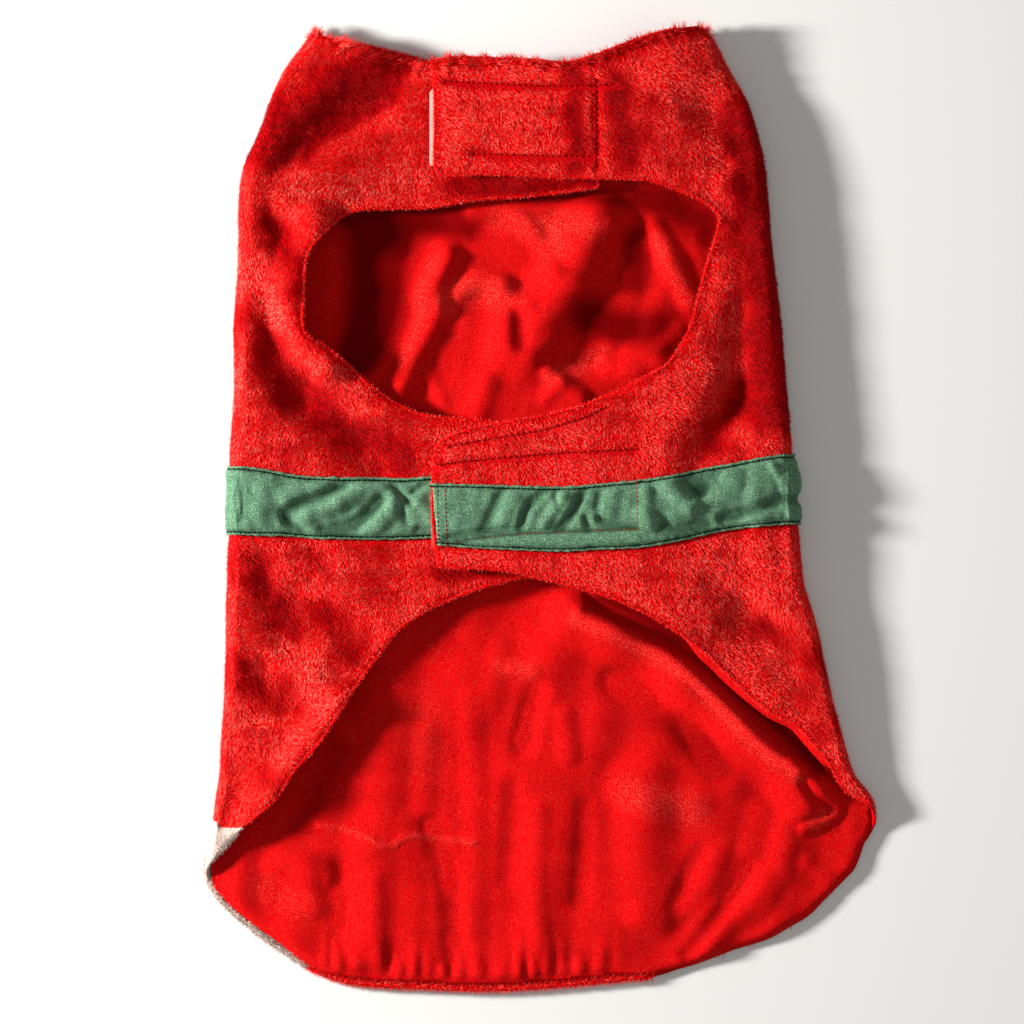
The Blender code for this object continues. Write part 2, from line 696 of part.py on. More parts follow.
def clear_scene():
    """Remove what the scene holds at the start."""
    for obj in list(bpy.data.objects):
        bpy.data.objects.remove(obj)


def build_front(side, name, panel, shell_keep):
    """A front's plush and lining, its stretch of belt, and the two tapes that it carries."""

    def pressed(p, y):
        taped = side == LEFT and any(in_tape(tape, side, p, y) for tape in TAPES[side].values())
        return in_belt(side, p, y) or taped

    panel.cloth(f"{name}_front_shell", "red_plush", PLUSH, keep=shell_keep, trim=SEAM / 2, seams_only=True,
                pressed=pressed)
    corner_y = HEM_CROSSING[side][0] + LINING_CORNER
    panel.cloth(f"{name}_front_lining", "red_satin", -SATIN, moved=-SEAM, trim=EDGE_TRIM,
                keep=lambda p, y: p > -TURN / 2 and y > corner_y)
    panel.cloth(f"belt_{name}", "green_satin", SATIN, keep=lambda p, y: in_belt(side, p, y),
                moved=PRESSED + SEAM, trim=SEAM)
    moved, wall = (PRESSED + SEAM, TAPE) if side == LEFT else (-2 * SEAM - SATIN, -TAPE)
    for tape_name, tape in TAPES[side].items():
        panel.cloth(tape_name, "tape", wall, moved=moved, trim=SEAM,
                    keep=lambda p, y: in_tape(tape, side, p, y))


def main():
    """Cut every piece of the coat and put it in place."""
    left, right = left_front(), right_front()
    build_front(LEFT, "left", left, lambda p, y: y > INSET_SEAM_Y)
    build_front(RIGHT, "right", right, None)
    left.cloth("corner_inset", "white_plush", PLUSH, keep=lambda p, y: y < INSET_SEAM_Y, trim=SEAM / 2,
               seams_only=True)
    back_panel = back()
    back_panel.cloth("back_shell", "red_plush", PLUSH, pressed=under_belt)
    back_panel.cloth("belt_under", "green_satin", SATIN, keep=under_belt, moved=PRESSED + SEAM, trim=SEAM)
    back_lining().cloth("back_lining", "red_satin", SATIN)


clear_scene()
COLLECTION = bpy.data.collections.new("dog_coat")
bpy.context.scene.collection.children.link(COLLECTION)
MATERIALS = {name: principled(name) for name in COLOURS}
main()
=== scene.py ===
"""The looks of a lined plush dog coat with a satin belt, laid flat on its back with both straps closed.

The coat is a flattened tube. Its back lies on the surface, and each front turns over at a side fold and
reaches the middle as two straps, with the right strap lapped over the left one. The panels are cut in a
pattern of their own, in millimetres, and placed on the coat's form: +X is the viewer's right, +Y the
neck, +Z up. Left and right are the viewer's.
"""

import logging
import math
from collections.abc import Callable, Sequence
from dataclasses import dataclass, field
from enum import Enum
from typing import Any, NamedTuple

import bpy
import numpy as np
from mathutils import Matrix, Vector
from mathutils.geometry import delaunay_2d_cdt


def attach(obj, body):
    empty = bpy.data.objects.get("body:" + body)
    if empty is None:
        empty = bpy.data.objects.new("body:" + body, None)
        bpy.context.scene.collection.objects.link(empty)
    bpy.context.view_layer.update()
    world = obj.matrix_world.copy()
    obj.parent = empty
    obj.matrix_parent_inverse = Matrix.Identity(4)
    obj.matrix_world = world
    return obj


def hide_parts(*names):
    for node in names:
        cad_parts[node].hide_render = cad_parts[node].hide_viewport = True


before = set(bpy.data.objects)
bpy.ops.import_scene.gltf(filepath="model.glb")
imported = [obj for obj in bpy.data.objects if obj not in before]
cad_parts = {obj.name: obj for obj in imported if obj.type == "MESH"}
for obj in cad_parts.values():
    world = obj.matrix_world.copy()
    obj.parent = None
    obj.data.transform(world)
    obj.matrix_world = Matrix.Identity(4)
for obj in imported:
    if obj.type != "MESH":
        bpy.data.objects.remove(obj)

LOG = logging.getLogger("dog_coat")
MM = 0.001
BODY = "root"
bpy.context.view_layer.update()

Array = np.ndarray
Point = tuple[float, float]
Span = tuple[float, float, float, float]
ByPoint = Callable[[Array], Array]  # values by the points of a pattern
Piece = bpy.types.Object
Material = bpy.types.Material
Tree = bpy.types.NodeTree
Node = bpy.types.Node

# The cloth as it is drawn, in millimetres: heights over the inner face of the plush
BACKING = 1.3  # the outer face of the plush's ground, under its pile
GROUND_WALL = 1.0
ROOT = 0.15  # how deep a fibre is rooted in the ground
PLUSH = 3.0  # ground and laid pile together
BAND_SEAT = 1.9  # where a band that is sewn down on pressed pile lies
BAND_WALL = 0.6
FLOOR_GAP = 0.05
LINING_WALL = 0.5
LINING_GAP = 0.35
LINING_REST = 0.3  # how far the lining lies over the back's plush
RIM_HEIGHT = 1.9  # where the rims lie over the surface that the coat lies on
TAPE_WALL = 0.8
TAPE_SEAT = 2.0  # the loop tape on the left strap
HOOK_SEAT = -1.55  # the hook tape under the right strap

# A half turn round a side fold takes this much of the pattern, and a front goes on under the back
TURN = 78.0
UNDERLAP = 10.0

SMOOTHING = 10  # points from one of a table's points to the next, before they are spaced evenly
TOUCH = 0.05  # points nearer than this are one
NUDGE = 0.05  # step of a slope, along the pattern
FOLD_STEP = 3.0  # between the points that a fold is measured from
RIM_STEP = 2.0
TINY = 1e-9  # a length that isn't divided by
NO_WAY = 1e-6  # a step too short to have a direction

# a drift is a sum of waves, longer than its patches by these factors
WAVES = 6
WAVE_LENGTHS = (1.2, 3.0)
WAVE_SUM = 2.4

# a cord's sides, how far from its ends it starts to thin out, and what is left of it there
TUBE_SIDES = 8
TUBE_TAPER = 5.0
TUBE_TIP = 0.25

CLOTH_MAP = "Cloth"
SHEEN_ROUGHNESS = 0.35


class Side(Enum):
    """The two sides of the coat, by the sign of x."""

    LEFT = -1
    RIGHT = 1


class Fold(NamedTuple):
    """A soft fold of cloth: the run of its crest, half its width, and its height, below 0 for a trough."""

    path: tuple[Point, ...]
    width: float
    height: float


class Seam(NamedTuple):
    """A run of topstitching through the pile, with how far it parts the pile, from 0 to 1."""

    strength: float
    path: tuple[Point, ...]


class Edge(Enum):
    """The two long edges of the belt, by their column in its table."""

    UPPER = 1
    LOWER = 2


def fold_table(*rows: tuple[Any, ...]) -> tuple[Fold, ...]:
    """Folds from rows of half the width, the height, and the points of the run."""
    return tuple(Fold(tuple(path), width, height) for width, height, *path in rows)


def by_side(left: Any, right: Any) -> Any:
    """A field of a class that holds a value for each side."""
    return field(default_factory=lambda: {Side.LEFT: left, Side.RIGHT: right})


def smoothstep(value: Array | float, start: Array | float, end: Array | float) -> Array:
    """0 at start, 1 at end, with a soft change between them."""
    t = np.clip((np.asarray(value, float) - start) / (end - start), 0.0, 1.0)
    return t * t * (3 - 2 * t)


def hump(distance: Array, width: float) -> Array:
    """1 at a distance of 0, falling softly to 0 at the width."""
    return np.clip(1 - (distance / width) ** 2, 0.0, 1.0) ** 2


def read_table(rows: Sequence[Sequence[float]], key: Array | float, column: int) -> Array:
    """Read a column smoothly between the rows of a table.

    Args:
        rows: The table. Its first column holds the keys, in any order.
        key: Where to read.
        column: Which column.

    Returns:
        The column's values at the keys, held at the table's ends.
    """
    table = np.array(sorted(tuple(row) for row in rows), float)
    keys, values = table[:, 0], table[:, column]
    slopes = np.gradient(values) / np.gradient(keys)
    key = np.clip(np.asarray(key, float), keys[0], keys[-1])
    i = np.clip(np.searchsorted(keys, key, side="right") - 1, 0, len(keys) - 2)
    width = keys[i + 1] - keys[i]
    t = (key - keys[i]) / width
    return (
        values[i] * (2 * t**3 - 3 * t**2 + 1)
        + values[i + 1] * (3 * t**2 - 2 * t**3)
        + slopes[i] * width * (t**3 - 2 * t**2 + t)
        + slopes[i + 1] * width * (t**3 - t**2)
    )


def evenly(run: Array, spacing: float) -> Array:
    """Points about spacing apart along a run of points."""
    lengths = np.concatenate([[0.0], np.cumsum(np.hypot(*np.diff(run[:, :2], axis=0).T))])
    wanted = np.linspace(0, lengths[-1], max(2, round(lengths[-1] / spacing) + 1))
    return np.column_stack([np.interp(wanted, lengths, column) for column in run.T])


def curve(points: Sequence[Point], spacing: float) -> Array:
    """Points about spacing apart on a smooth curve through the given ones."""
    knots = np.array(points, float)
    padded = np.vstack([2 * knots[0] - knots[1], knots, 2 * knots[-1] - knots[-2]])
    t = np.linspace(0, 1, SMOOTHING, endpoint=False)[:, None]
    fine = [
        0.5 * (2 * a + (b - before) * t + (2 * before - 5 * a + 4 * b - after) * t**2
               + (3 * a - before - 3 * b + after) * t**3)
        for before, a, b, after in zip(padded, padded[1:], padded[2:], padded[3:])
    ]
    return evenly(np.vstack([*fine, knots[-1:]]), spacing)


def join(*runs: Array) -> Array:
    """One closed outline from runs that share their ends."""
    outline = np.vstack(runs)
    gaps = np.hypot(*(outline - np.roll(outline, 1, axis=0)).T)
    return outline[gaps > TOUCH]


def inside(points: Array, outline: Array) -> Array:
    """Which points lie inside an outline."""
    x, y = points.T
    found = np.zeros(len(points), bool)
    for (x0, y0), (x1, y1) in zip(outline, np.roll(outline, -1, axis=0)):
        if y0 != y1:
            found ^= ((y0 > y) != (y1 > y)) & (x < x0 + (y - y0) / (y1 - y0) * (x1 - x0))
    return found


def distance(points: Array, path: Array) -> Array:
    """How far each point lies from a run of points."""
    path = np.asarray(path, float)
    if len(path) == 1:
        return np.hypot(*(points - path[0]).T)
    nearest = np.full(len(points), np.inf)
    for start, along in zip(path[:-1], np.diff(path, axis=0)):
        t = np.clip((points - start) @ along / max(along @ along, TINY), 0, 1)
        nearest = np.minimum(nearest, np.hypot(*(points - start - t[:, None] * along).T))
    return nearest


def unit(vectors: Array, least: float = TINY) -> Array:
    """Vectors brought to a length of 1, but for those that are shorter than the least."""
    return vectors / np.maximum(np.linalg.norm(vectors, axis=1, keepdims=True), least)


def lift_of(folds: Sequence[Fold], points: Array) -> Array:
    """How far a list of folds lifts the cloth at each point."""
    lift = np.zeros(len(points))
    for fold in folds:
        lift += fold.height * hump(distance(points, curve(fold.path, FOLD_STEP)), fold.width)
    return lift


class Drift(NamedTuple):
    """A smooth random value about 0, by its strength, the size of its patches and its seed."""

    strength: float
    patch: float
    seed: int

    def at(self, points: Array) -> Array:
        """The value at each point."""
        rng = np.random.default_rng(self.seed)
        total = np.zeros(len(points))
        for _ in range(WAVES):
            angle, phase = rng.uniform(0, math.tau, 2)
            wave = math.tau / (self.patch * rng.uniform(*WAVE_LENGTHS))
            total += np.sin(points @ np.array([math.cos(angle), math.sin(angle)]) * wave + phase)
        return self.strength * (total / WAVE_SUM)


class Ridge(NamedTuple):
    """A ridge along an edge: how far in it lies, half its width, and its height, below 0 for a groove."""

    inset: float
    width: float
    height: float

    def over(self, away: Array) -> Array:
        """How high it stands at distances from the edge."""
        return self.height * hump(away - self.inset, self.width)


def between(value: Array, start: float, full: float, last: float, end: float) -> Array:
    """1 from full to last, falling softly to 0 at start and at end."""
    return smoothstep(value, start, full) * (1 - smoothstep(value, last, end))


def nearest(points: Array, run: Array) -> tuple[Array, Array]:
    """The step from each point to the nearest one of a run's points, and its length."""
    gaps = np.hypot(points[:, None, 0] - run[None, :, 0], points[:, None, 1] - run[None, :, 1])
    return run[gaps.argmin(1)] - points, gaps.min(1)


@dataclass(frozen=True)
class CoatForm:
    """The form of the flattened tube, by the inner face of its plush."""

    # y, x of the left fold, thickness there, x of the right fold, thickness there
    sections: tuple[tuple[float, ...], ...] = (
        (238, -115.0, 12.0, 84.0, 12.0),
        (231, -120.5, 12.5, 89.5, 12.5),
        (218, -130.0, 13.5, 96.0, 13.5),
        (202, -137.5, 15.0, 105.0, 15.0),
        (186, -143.0, 16.0, 110.0, 16.0),
        (170, -150.0, 16.5, 113.5, 16.5),
        (154, -152.5, 17.0, 115.0, 17.0),
        (122, -153.0, 17.0, 118.0, 17.0),
        (90, -155.0, 17.0, 121.5, 17.0),
        (58, -155.0, 17.0, 124.5, 17.0),
        (26, -157.0, 17.0, 127.0, 17.0),
        (-6, -157.5, 17.0, 130.0, 17.0),
        (-38, -158.5, 16.0, 133.0, 16.0),
        (-62, -159.0, 15.0, 140.0, 15.0),
        (-86, -159.5, 14.5, 145.0, 14.0),
        (-110, -161.0, 13.5, 151.0, 12.5),
        (-134, -162.5, 12.5, 158.5, 11.0),
        (-149, -164.5, 11.5, 168.5, 10.0),
        (-180, -169.0, 10.0, 168.5, 10.0),
    )
    strap_height: dict[Side, float] = by_side(10.8, 17.0)
    slope: dict[Side, Point] = by_side((-150.0, -62.0), (105.0, 57.0))
    flat_from: dict[Side, Point] = by_side((-86.0, -60.0), (90.0, 56.0))
    fold_fade: float = 16.0
    fold_depth: float = 1.3
    folds: dict[Side, tuple[Fold, ...]] = by_side(
        fold_table(
            (18, -3.0, (-62, 212), (-100, 192), (-138, 172)),
            (16, -2.5, (-140, 146), (-122, 126)),
            (18, -3.0, (-150, 101), (-120, 56)),
            (18, -2.5, (-120, 56), (-78, 24)),
            (18, -2.2, (-148, -28), (-122, -64)),
            (16, -2.0, (-118, -46), (-88, -68)),
            (16, -2.0, (-152, -78), (-126, -96)),
            (14, 1.5, (-154, -130), (-128, -140)),
            (12, 0.9, (-128, 152), (-104, 158)),
            (9, 0.9, (-146, 122), (-128, 108)),
            (9, -1.2, (-146, 74), (-136, 60)),
            (10, -0.9, (-132, -2), (-108, -26)),
            (9, 0.8, (-112, -84), (-100, -100)),
            (9, -1.0, (-146, -104), (-128, -116)),
            (9, 1.0, (-104, 214), (-120, 200)),
            (15, 5.2, (-112, 141), (-121, 120), (-121, 90), (-106, 74)),
            (15, 3.8, (-148, -158), (-122, -130), (-99, -98)),
        ),
        fold_table(
            (18, -2.5, (36, 214), (100, 190)),
            (14, 2.0, (60, 176), (106, 152)),
            (18, -3.0, (102, 92), (97, 54)),
            (18, -3.0, (97, 54), (72, 24)),
            (18, -2.5, (100, -54), (142, -84)),
            (16, 1.5, (112, -20), (118, 30)),
            (9, 1.1, (62, 196), (76, 184), (92, 182)),
            (8, -1.2, (58, 178), (74, 168), (90, 170)),
            (10, -1.3, (84, 158), (98, 146), (104, 130)),
            (8, 0.8, (92, 118), (88, 96)),
            (8, -0.9, (110, 70), (114, 44)),
            (9, -0.9, (84, -38), (104, -46)),
            (8, 0.8, (118, -70), (134, -74)),
            (9, -1.0, (126, -96), (140, -112)),
        ),
    )

    def fold_values(self, side: Side, y: Array) -> tuple[Array, Array]:
        """x of a side fold, and how thick the folded coat is there."""
        first = 1 if side is Side.LEFT else 3
        return read_table(self.sections, y, first), read_table(self.sections, y, first + 1)

    def fold_top(self, side: Side, y: Array | float) -> Array:
        """x where a front starts to turn round its side fold."""
        fold_x, thickness = self.fold_values(side, y)
        return fold_x - side.value * thickness / 2

    def front_height(self, side: Side, x: Array, y: Array) -> Array:
        """The inner face of a front's plush, over the surface."""
        at_fold = self.fold_values(side, y)[1] - PLUSH
        share = smoothstep(x, *self.slope[side])
        near_fold = smoothstep(np.abs(x - self.fold_top(side, y)), 0, self.fold_fade)
        near_strap = 1 - smoothstep(x, *self.flat_from[side])
        lift = self.fold_depth * lift_of(self.folds[side], np.column_stack([x, y])) * near_fold * near_strap
        return at_fold + (self.strap_height[side] - at_fold) * share + lift

    def front_point(self, side: Side, pattern: Array) -> Array:
        """Place points of a front's pattern.

        Args:
            side: Which front.
            pattern: Points, p and y. p is above 0 on top of the coat, falls to -TURN round the fold, and
                goes on below that under the coat.

        Returns:
            The points in the coat, in millimetres.
        """
        p, y = pattern.T
        top_x = self.fold_top(side, y)
        middle = self.fold_values(side, y)[1] / 2
        radius = middle - PLUSH
        x_top = top_x - side.value * np.maximum(p, 0.0)
        z_top = self.front_height(side, x_top, y)
        angle = math.pi * np.clip(-p / TURN, 0, 1)
        x_turn = top_x + side.value * radius * np.sin(angle) + side.value * np.minimum(p + TURN, 0.0)
        z_turn = middle + radius * np.cos(angle)
        on_top = p >= 0
        return np.column_stack([np.where(on_top, x_top, x_turn), y, np.where(on_top, z_top, z_turn)])

    def on_top(self, side: Side, points: Array) -> Array:
        """The pattern's points for points that are seen from above."""
        x, y = np.asarray(points, float).T
        return np.column_stack([-side.value * (x - self.fold_top(side, y)), y])

    def underneath(self, side: Side, points: Array) -> Array:
        """The pattern's points for points under the coat."""
        x, y = np.asarray(points, float).T
        return np.column_stack([-TURN + side.value * (x - self.fold_top(side, y)), y])

    def seen_x(self, side: Side, pattern: Array) -> Array:
        """x of points of a front's pattern, held at the fold beyond the fold."""
        p, y = pattern.T
        return self.fold_top(side, y) - side.value * np.maximum(p, 0.0)


FORM = CoatForm()


@dataclass
class Surface:
    """A surface of the coat, as the place of each point of a pattern."""

    place: ByPoint
    turned: bool = False

    def normal(self, pattern: Array) -> Array:
        """The way out of the cloth at points of the pattern."""
        here = self.place(pattern)
        east = self.place(pattern + np.array([NUDGE, 0])) - here
        north = self.place(pattern + np.array([0, NUDGE])) - here
        return unit(np.cross(east, north) * (-1.0 if self.turned else 1.0))

    def at(self, pattern: Array, out: Array | float) -> Array:
        """The points that lie some way out from the surface."""
        return self.place(pattern) + self.normal(pattern) * np.reshape(out, (-1, 1))

    def toward(self, pattern: Array, angle: Array) -> Array:
        """The coat's directions for angles that are given in the pattern."""
        step = np.column_stack([np.cos(angle), np.sin(angle)]) * NUDGE
        return unit(self.place(pattern + step) - self.place(pattern - step))


def level(height: float, turned: bool = False) -> Surface:
    """A flat surface at a height over the floor."""
    return Surface(lambda at: np.column_stack([at, np.full(len(at), height)]), turned)


def value_at(value: Array | float | ByPoint, pattern: Array) -> Array | float:
    """A value that is given as it is, or by the points of a pattern."""
    return value(pattern) if callable(value) else value


def set_attribute(mesh: bpy.types.Mesh, name: str, values: Array) -> None:
    """Store a number or a vector for each point of a mesh."""
    kind, key = ("FLOAT", "value") if values.ndim == 1 else ("FLOAT_VECTOR", "vector")
    mesh.attributes.new(name, kind, "POINT").data.foreach_set(key, values.astype(np.float32).ravel())


def add_object(name: str, data: bpy.types.ID) -> Piece:
    """An object of a mesh, a lamp or a camera, put in the scene."""
    added = bpy.data.objects.new(name, data)
    bpy.context.scene.collection.objects.link(added)
    return added


def corner_points(mesh: bpy.types.Mesh) -> Array:
    """The number of the point at each corner of a mesh's faces."""
    corners = np.empty(len(mesh.loops), np.int64)
    mesh.loops.foreach_get("vertex_index", corners)
    return corners


def mesh_object(name: str, points: Array, faces: Sequence[Sequence[int]], uv: Array | None = None,
                smooth: bool = True) -> Piece:
    """Make an object from points in millimetres.

    Args:
        name: The object's name.
        points: The points.
        faces: The faces, by the numbers of their points.
        uv: A place in the cloth for each point, in metres, for the materials.
        smooth: Whether it is shaded smooth.

    Returns:
        The object, at the origin.
    """
    mesh = bpy.data.meshes.new(name)
    mesh.from_pydata((points * MM).tolist(), [], [list(map(int, face)) for face in faces])
    if smooth:
        mesh.shade_smooth()
    if uv is not None:
        laid = uv[corner_points(mesh)].astype(np.float32)
        mesh.uv_layers.new(name=CLOTH_MAP).data.foreach_set("uv", laid.ravel())
    return add_object(name, mesh)


class Panel:
    """Cloth cut to an outline in its pattern, as fine triangles."""

    CLEARANCE = 0.45  # the share of the spacing that inner points keep from the runs
    COARSE = 3  # how many times as far apart the points stand where the cut isn't fine
    WITHIN = 1  # the cut keeps only the faces inside its edges
    SNAP = 1e-4

    def __init__(self, surface: Surface, outline: Array, spacing: float, lines: Sequence[Array] = (),
                 fine: ByPoint | None = None) -> None:
        """Cut the panel.

        Args:
            surface: Where the panel lies.
            outline: Its closed outline in the pattern.
            spacing: How far apart its inner points are.
            lines: Runs that its triangles follow.
            fine: Where the points stand at the spacing. Elsewhere they stand further apart.
        """
        self.surface = surface
        self.outline = outline
        runs = [np.vstack([outline, outline[:1]]), *lines]
        edges, count = [], 0
        for run in runs:
            edges += [(count + k, count + k + 1) for k in range(len(run) - 1)]
            count += len(run)
        low, high = outline.min(0), outline.max(0)
        rise = spacing * math.sqrt(3) / 2
        rows = np.arange(math.floor(low[1] / rise), math.ceil(high[1] / rise) + 1)
        columns = np.arange(math.floor(low[0] / spacing) - 1, math.ceil(high[0] / spacing) + 1)
        cells = np.array([(c, r) for r in rows for c in columns])
        grid = np.column_stack([(cells[:, 0] + cells[:, 1] % 2 / 2) * spacing, cells[:, 1] * rise])
        if fine is not None:
            grid = grid[fine(grid) | np.all(cells % self.COARSE == 0, axis=1)]
        grid = grid[inside(grid, outline)]
        free = np.minimum.reduce([distance(grid, run) for run in runs])
        grid = grid[free > spacing * self.CLEARANCE]
        points = np.vstack([*runs, grid])
        made = delaunay_2d_cdt([Vector(p) for p in points.tolist()], edges, [], self.WITHIN, self.SNAP, False)
        self.pattern = np.array([tuple(p) for p in made[0]])
        faces = np.array([face for face in made[2] if len(face) == 3])
        faces = faces[inside(self.pattern[faces].mean(1), outline)]
        self.faces = faces[:, ::-1] if surface.turned else faces

    def piece(self, name: str, out: Array | float | ByPoint, keep: ByPoint | None = None,
              trim: float | ByPoint = 0.0, cloth_place: ByPoint | None = None,
              painted_light: ByPoint | None = None) -> Piece:
        """Cut an open piece from the panel.

        Args:
            name: The piece's name.
            out: How far out of the surface it lies, as a number or by the points of the pattern.
            keep: Which faces belong to it, by the pattern's points at their middles.
            trim: How far its edges are pulled in, as a number or by the points of the pattern.
            cloth_place: The place in the cloth for each point of the pattern, for the weave.
            painted_light: Light and shade painted on the cloth: a painted highlight at 1, painted shade at
                -1.

        Returns:
            The open piece, with its pattern kept as the piece's UV map.
        """
        faces = self.faces
        if keep is not None:
            faces = faces[keep(self.pattern[faces].mean(1))]
        used, numbered = np.unique(faces, return_inverse=True)
        faces = numbered.reshape(faces.shape)
        pattern = self.pattern[used]
        pattern = pattern + np.reshape(value_at(trim, pattern), (-1, 1)) * inward(pattern, faces)
        cloth = cloth_place(pattern) if cloth_place else pattern
        piece = mesh_object(name, self.surface.at(pattern, value_at(out, pattern)), faces, cloth * MM)
        if painted_light is not None:
            set_attribute(piece.data, "painted_light", np.clip(painted_light(pattern), -1, 1))
        return piece


def inward(pattern: Array, faces: Array) -> Array:
    """Steps of length 1 into the cloth from the points on its edges, and of 0 elsewhere."""
    pairs = np.vstack([faces[:, [0, 1]], faces[:, [1, 2]], faces[:, [2, 0]]])
    thirds = np.concatenate([faces[:, 2], faces[:, 0], faces[:, 1]])
    _, first, times = np.unique(np.sort(pairs, axis=1), axis=0, return_index=True, return_counts=True)
    rim = first[times == 1]
    a, b, third = pattern[pairs[rim, 0]], pattern[pairs[rim, 1]], pattern[thirds[rim]]
    along = unit(b - a)
    across = np.column_stack([-along[:, 1], along[:, 0]])
    across *= np.sign(np.sum(across * (third - a), axis=1))[:, None]
    steps = np.zeros_like(pattern)
    for column in (0, 1):
        np.add.at(steps, pairs[rim, column], across)
    return unit(steps)


def solidify(piece: Piece, wall: float, outward: bool = True) -> None:
    """Give an open piece its wall, in millimetres."""
    modifier = piece.modifiers.new("Wall", "SOLIDIFY")
    modifier.thickness = wall * MM
    modifier.offset = 1.0 if outward else -1.0


def ring_faces(count: int, sides: int) -> list[tuple[int, ...]]:
    """The faces of a closed tube that is made of rings, with its two ends."""
    faces = [
        (k * sides + s, (k + 1) * sides + s, (k + 1) * sides + (s + 1) % sides, k * sides + (s + 1) % sides)
        for k in range(count - 1) for s in range(sides)
    ]
    last = (count - 1) * sides
    return [*faces, tuple(range(sides)), tuple(last + s for s in range(sides))[::-1]]


def tube(name: str, surface: Surface, pattern: Array, out: float, radius: float) -> Piece:
    """A round cord of cloth that follows a run of the pattern and thins out at its ends.

    Args:
        name: The piece's name.
        surface: The surface that it follows.
        pattern: The run, in the pattern.
        out: How far out of the surface its middle lies.
        radius: Its radius.

    Returns:
        The closed cord.
    """
    middle = surface.at(pattern, out)
    along = unit(np.gradient(middle, axis=0))
    across = unit(np.cross(along, surface.normal(pattern)))
    up = np.cross(across, along)
    run = np.concatenate([[0.0], np.cumsum(np.linalg.norm(np.diff(middle, axis=0), axis=1))])
    room = smoothstep(np.minimum(run, run[-1] - run), 0.0, TUBE_TAPER)
    size = radius * (TUBE_TIP + (1 - TUBE_TIP) * room)[:, None, None]
    turn = np.arange(TUBE_SIDES) * math.tau / TUBE_SIDES
    rings = middle[:, None] + size * (np.cos(turn)[None, :, None] * across[:, None]
                                      + np.sin(turn)[None, :, None] * up[:, None])
    uv = np.column_stack([np.repeat(run, TUBE_SIDES), np.tile(turn * radius, len(middle))])
    return mesh_object(name, rings.reshape(-1, 3), ring_faces(len(middle), TUBE_SIDES), uv * MM)


def output_of(node: Node, key: str) -> bpy.types.NodeSocket:
    """An output of a node, by its identifier or name."""
    return next(s for s in node.outputs if key in (s.identifier, s.name))


def feed(tree: Tree, node: Node, inputs: dict[str, Any]) -> None:
    """Set or link a node's inputs.

    Args:
        tree: The node tree.
        node: The node.
        inputs: For each input, by its identifier or name: a value, a socket, a node, or a node with the
            name of its output.
    """
    for key, value in inputs.items():
        socket = next(s for s in node.inputs if key in (s.identifier, s.name))
        if isinstance(value, Node):
            value = next(s for s in value.outputs if s.enabled)
        elif isinstance(value, tuple) and isinstance(value[0], Node):
            value = output_of(*value)
        if isinstance(value, bpy.types.NodeSocket):
            tree.links.new(value, socket)
        else:
            socket.default_value = value


def add_node(tree: Tree, kind: str, inputs: dict[str, Any] | None = None, **settings: Any) -> Node:
    """Add a node with its settings and its inputs.

    Args:
        tree: The node tree.
        kind: The node's type.
        inputs: What each of its inputs gets.
        **settings: The node's own properties.

    Returns:
        The node.
    """
    node = tree.nodes.new(kind)
    for key, value in settings.items():
        setattr(node, key, value)
    feed(tree, node, inputs or {})
    return node


def add_grain(tree: Tree, size_mm: float, detail: float = 2.0) -> Node:
    """Noise on a piece's own coordinates, with grains of a real size."""
    place = add_node(tree, "ShaderNodeTexCoord")
    return add_node(tree, "ShaderNodeTexNoise", {
        "Vector": (place, "Object"), "Scale": 1 / (size_mm * MM), "Detail": detail,
    })


def linear(code: str) -> tuple[float, float, float, float]:
    """A colour's linear values from its sRGB hex code."""
    parts = [int(code[k : k + 2], 16) / 255 for k in (1, 3, 5)]
    return (*(c / 12.92 if c <= 0.04045 else ((c + 0.055) / 1.055) ** 2.4 for c in parts), 1.0)


def new_material(name: str, roughness: float, sheen: float, specular: float, gloss: str = "#FFFFFF",
                 ) -> tuple[Material, Tree, Node]:
    """Start the material of a cloth finish.

    Args:
        name: Its name.
        roughness: How matt it is.
        sheen: How much light its fuzz catches.
        specular: How strong its gloss is.
        gloss: The colour of its gloss and its sheen.

    Returns:
        The material, its node tree and its shader.
    """
    material = bpy.data.materials.new(name)
    material.use_nodes = True
    tree = material.node_tree
    shader = tree.nodes["Principled BSDF"]
    feed(tree, shader, {
        "Roughness": roughness, "Metallic": 0.0, "Specular IOR Level": specular, "Sheen Weight": sheen,
        "Sheen Roughness": SHEEN_ROUGHNESS, "Sheen Tint": linear(gloss), "Specular Tint": linear(gloss),
    })
    return material, tree, shader


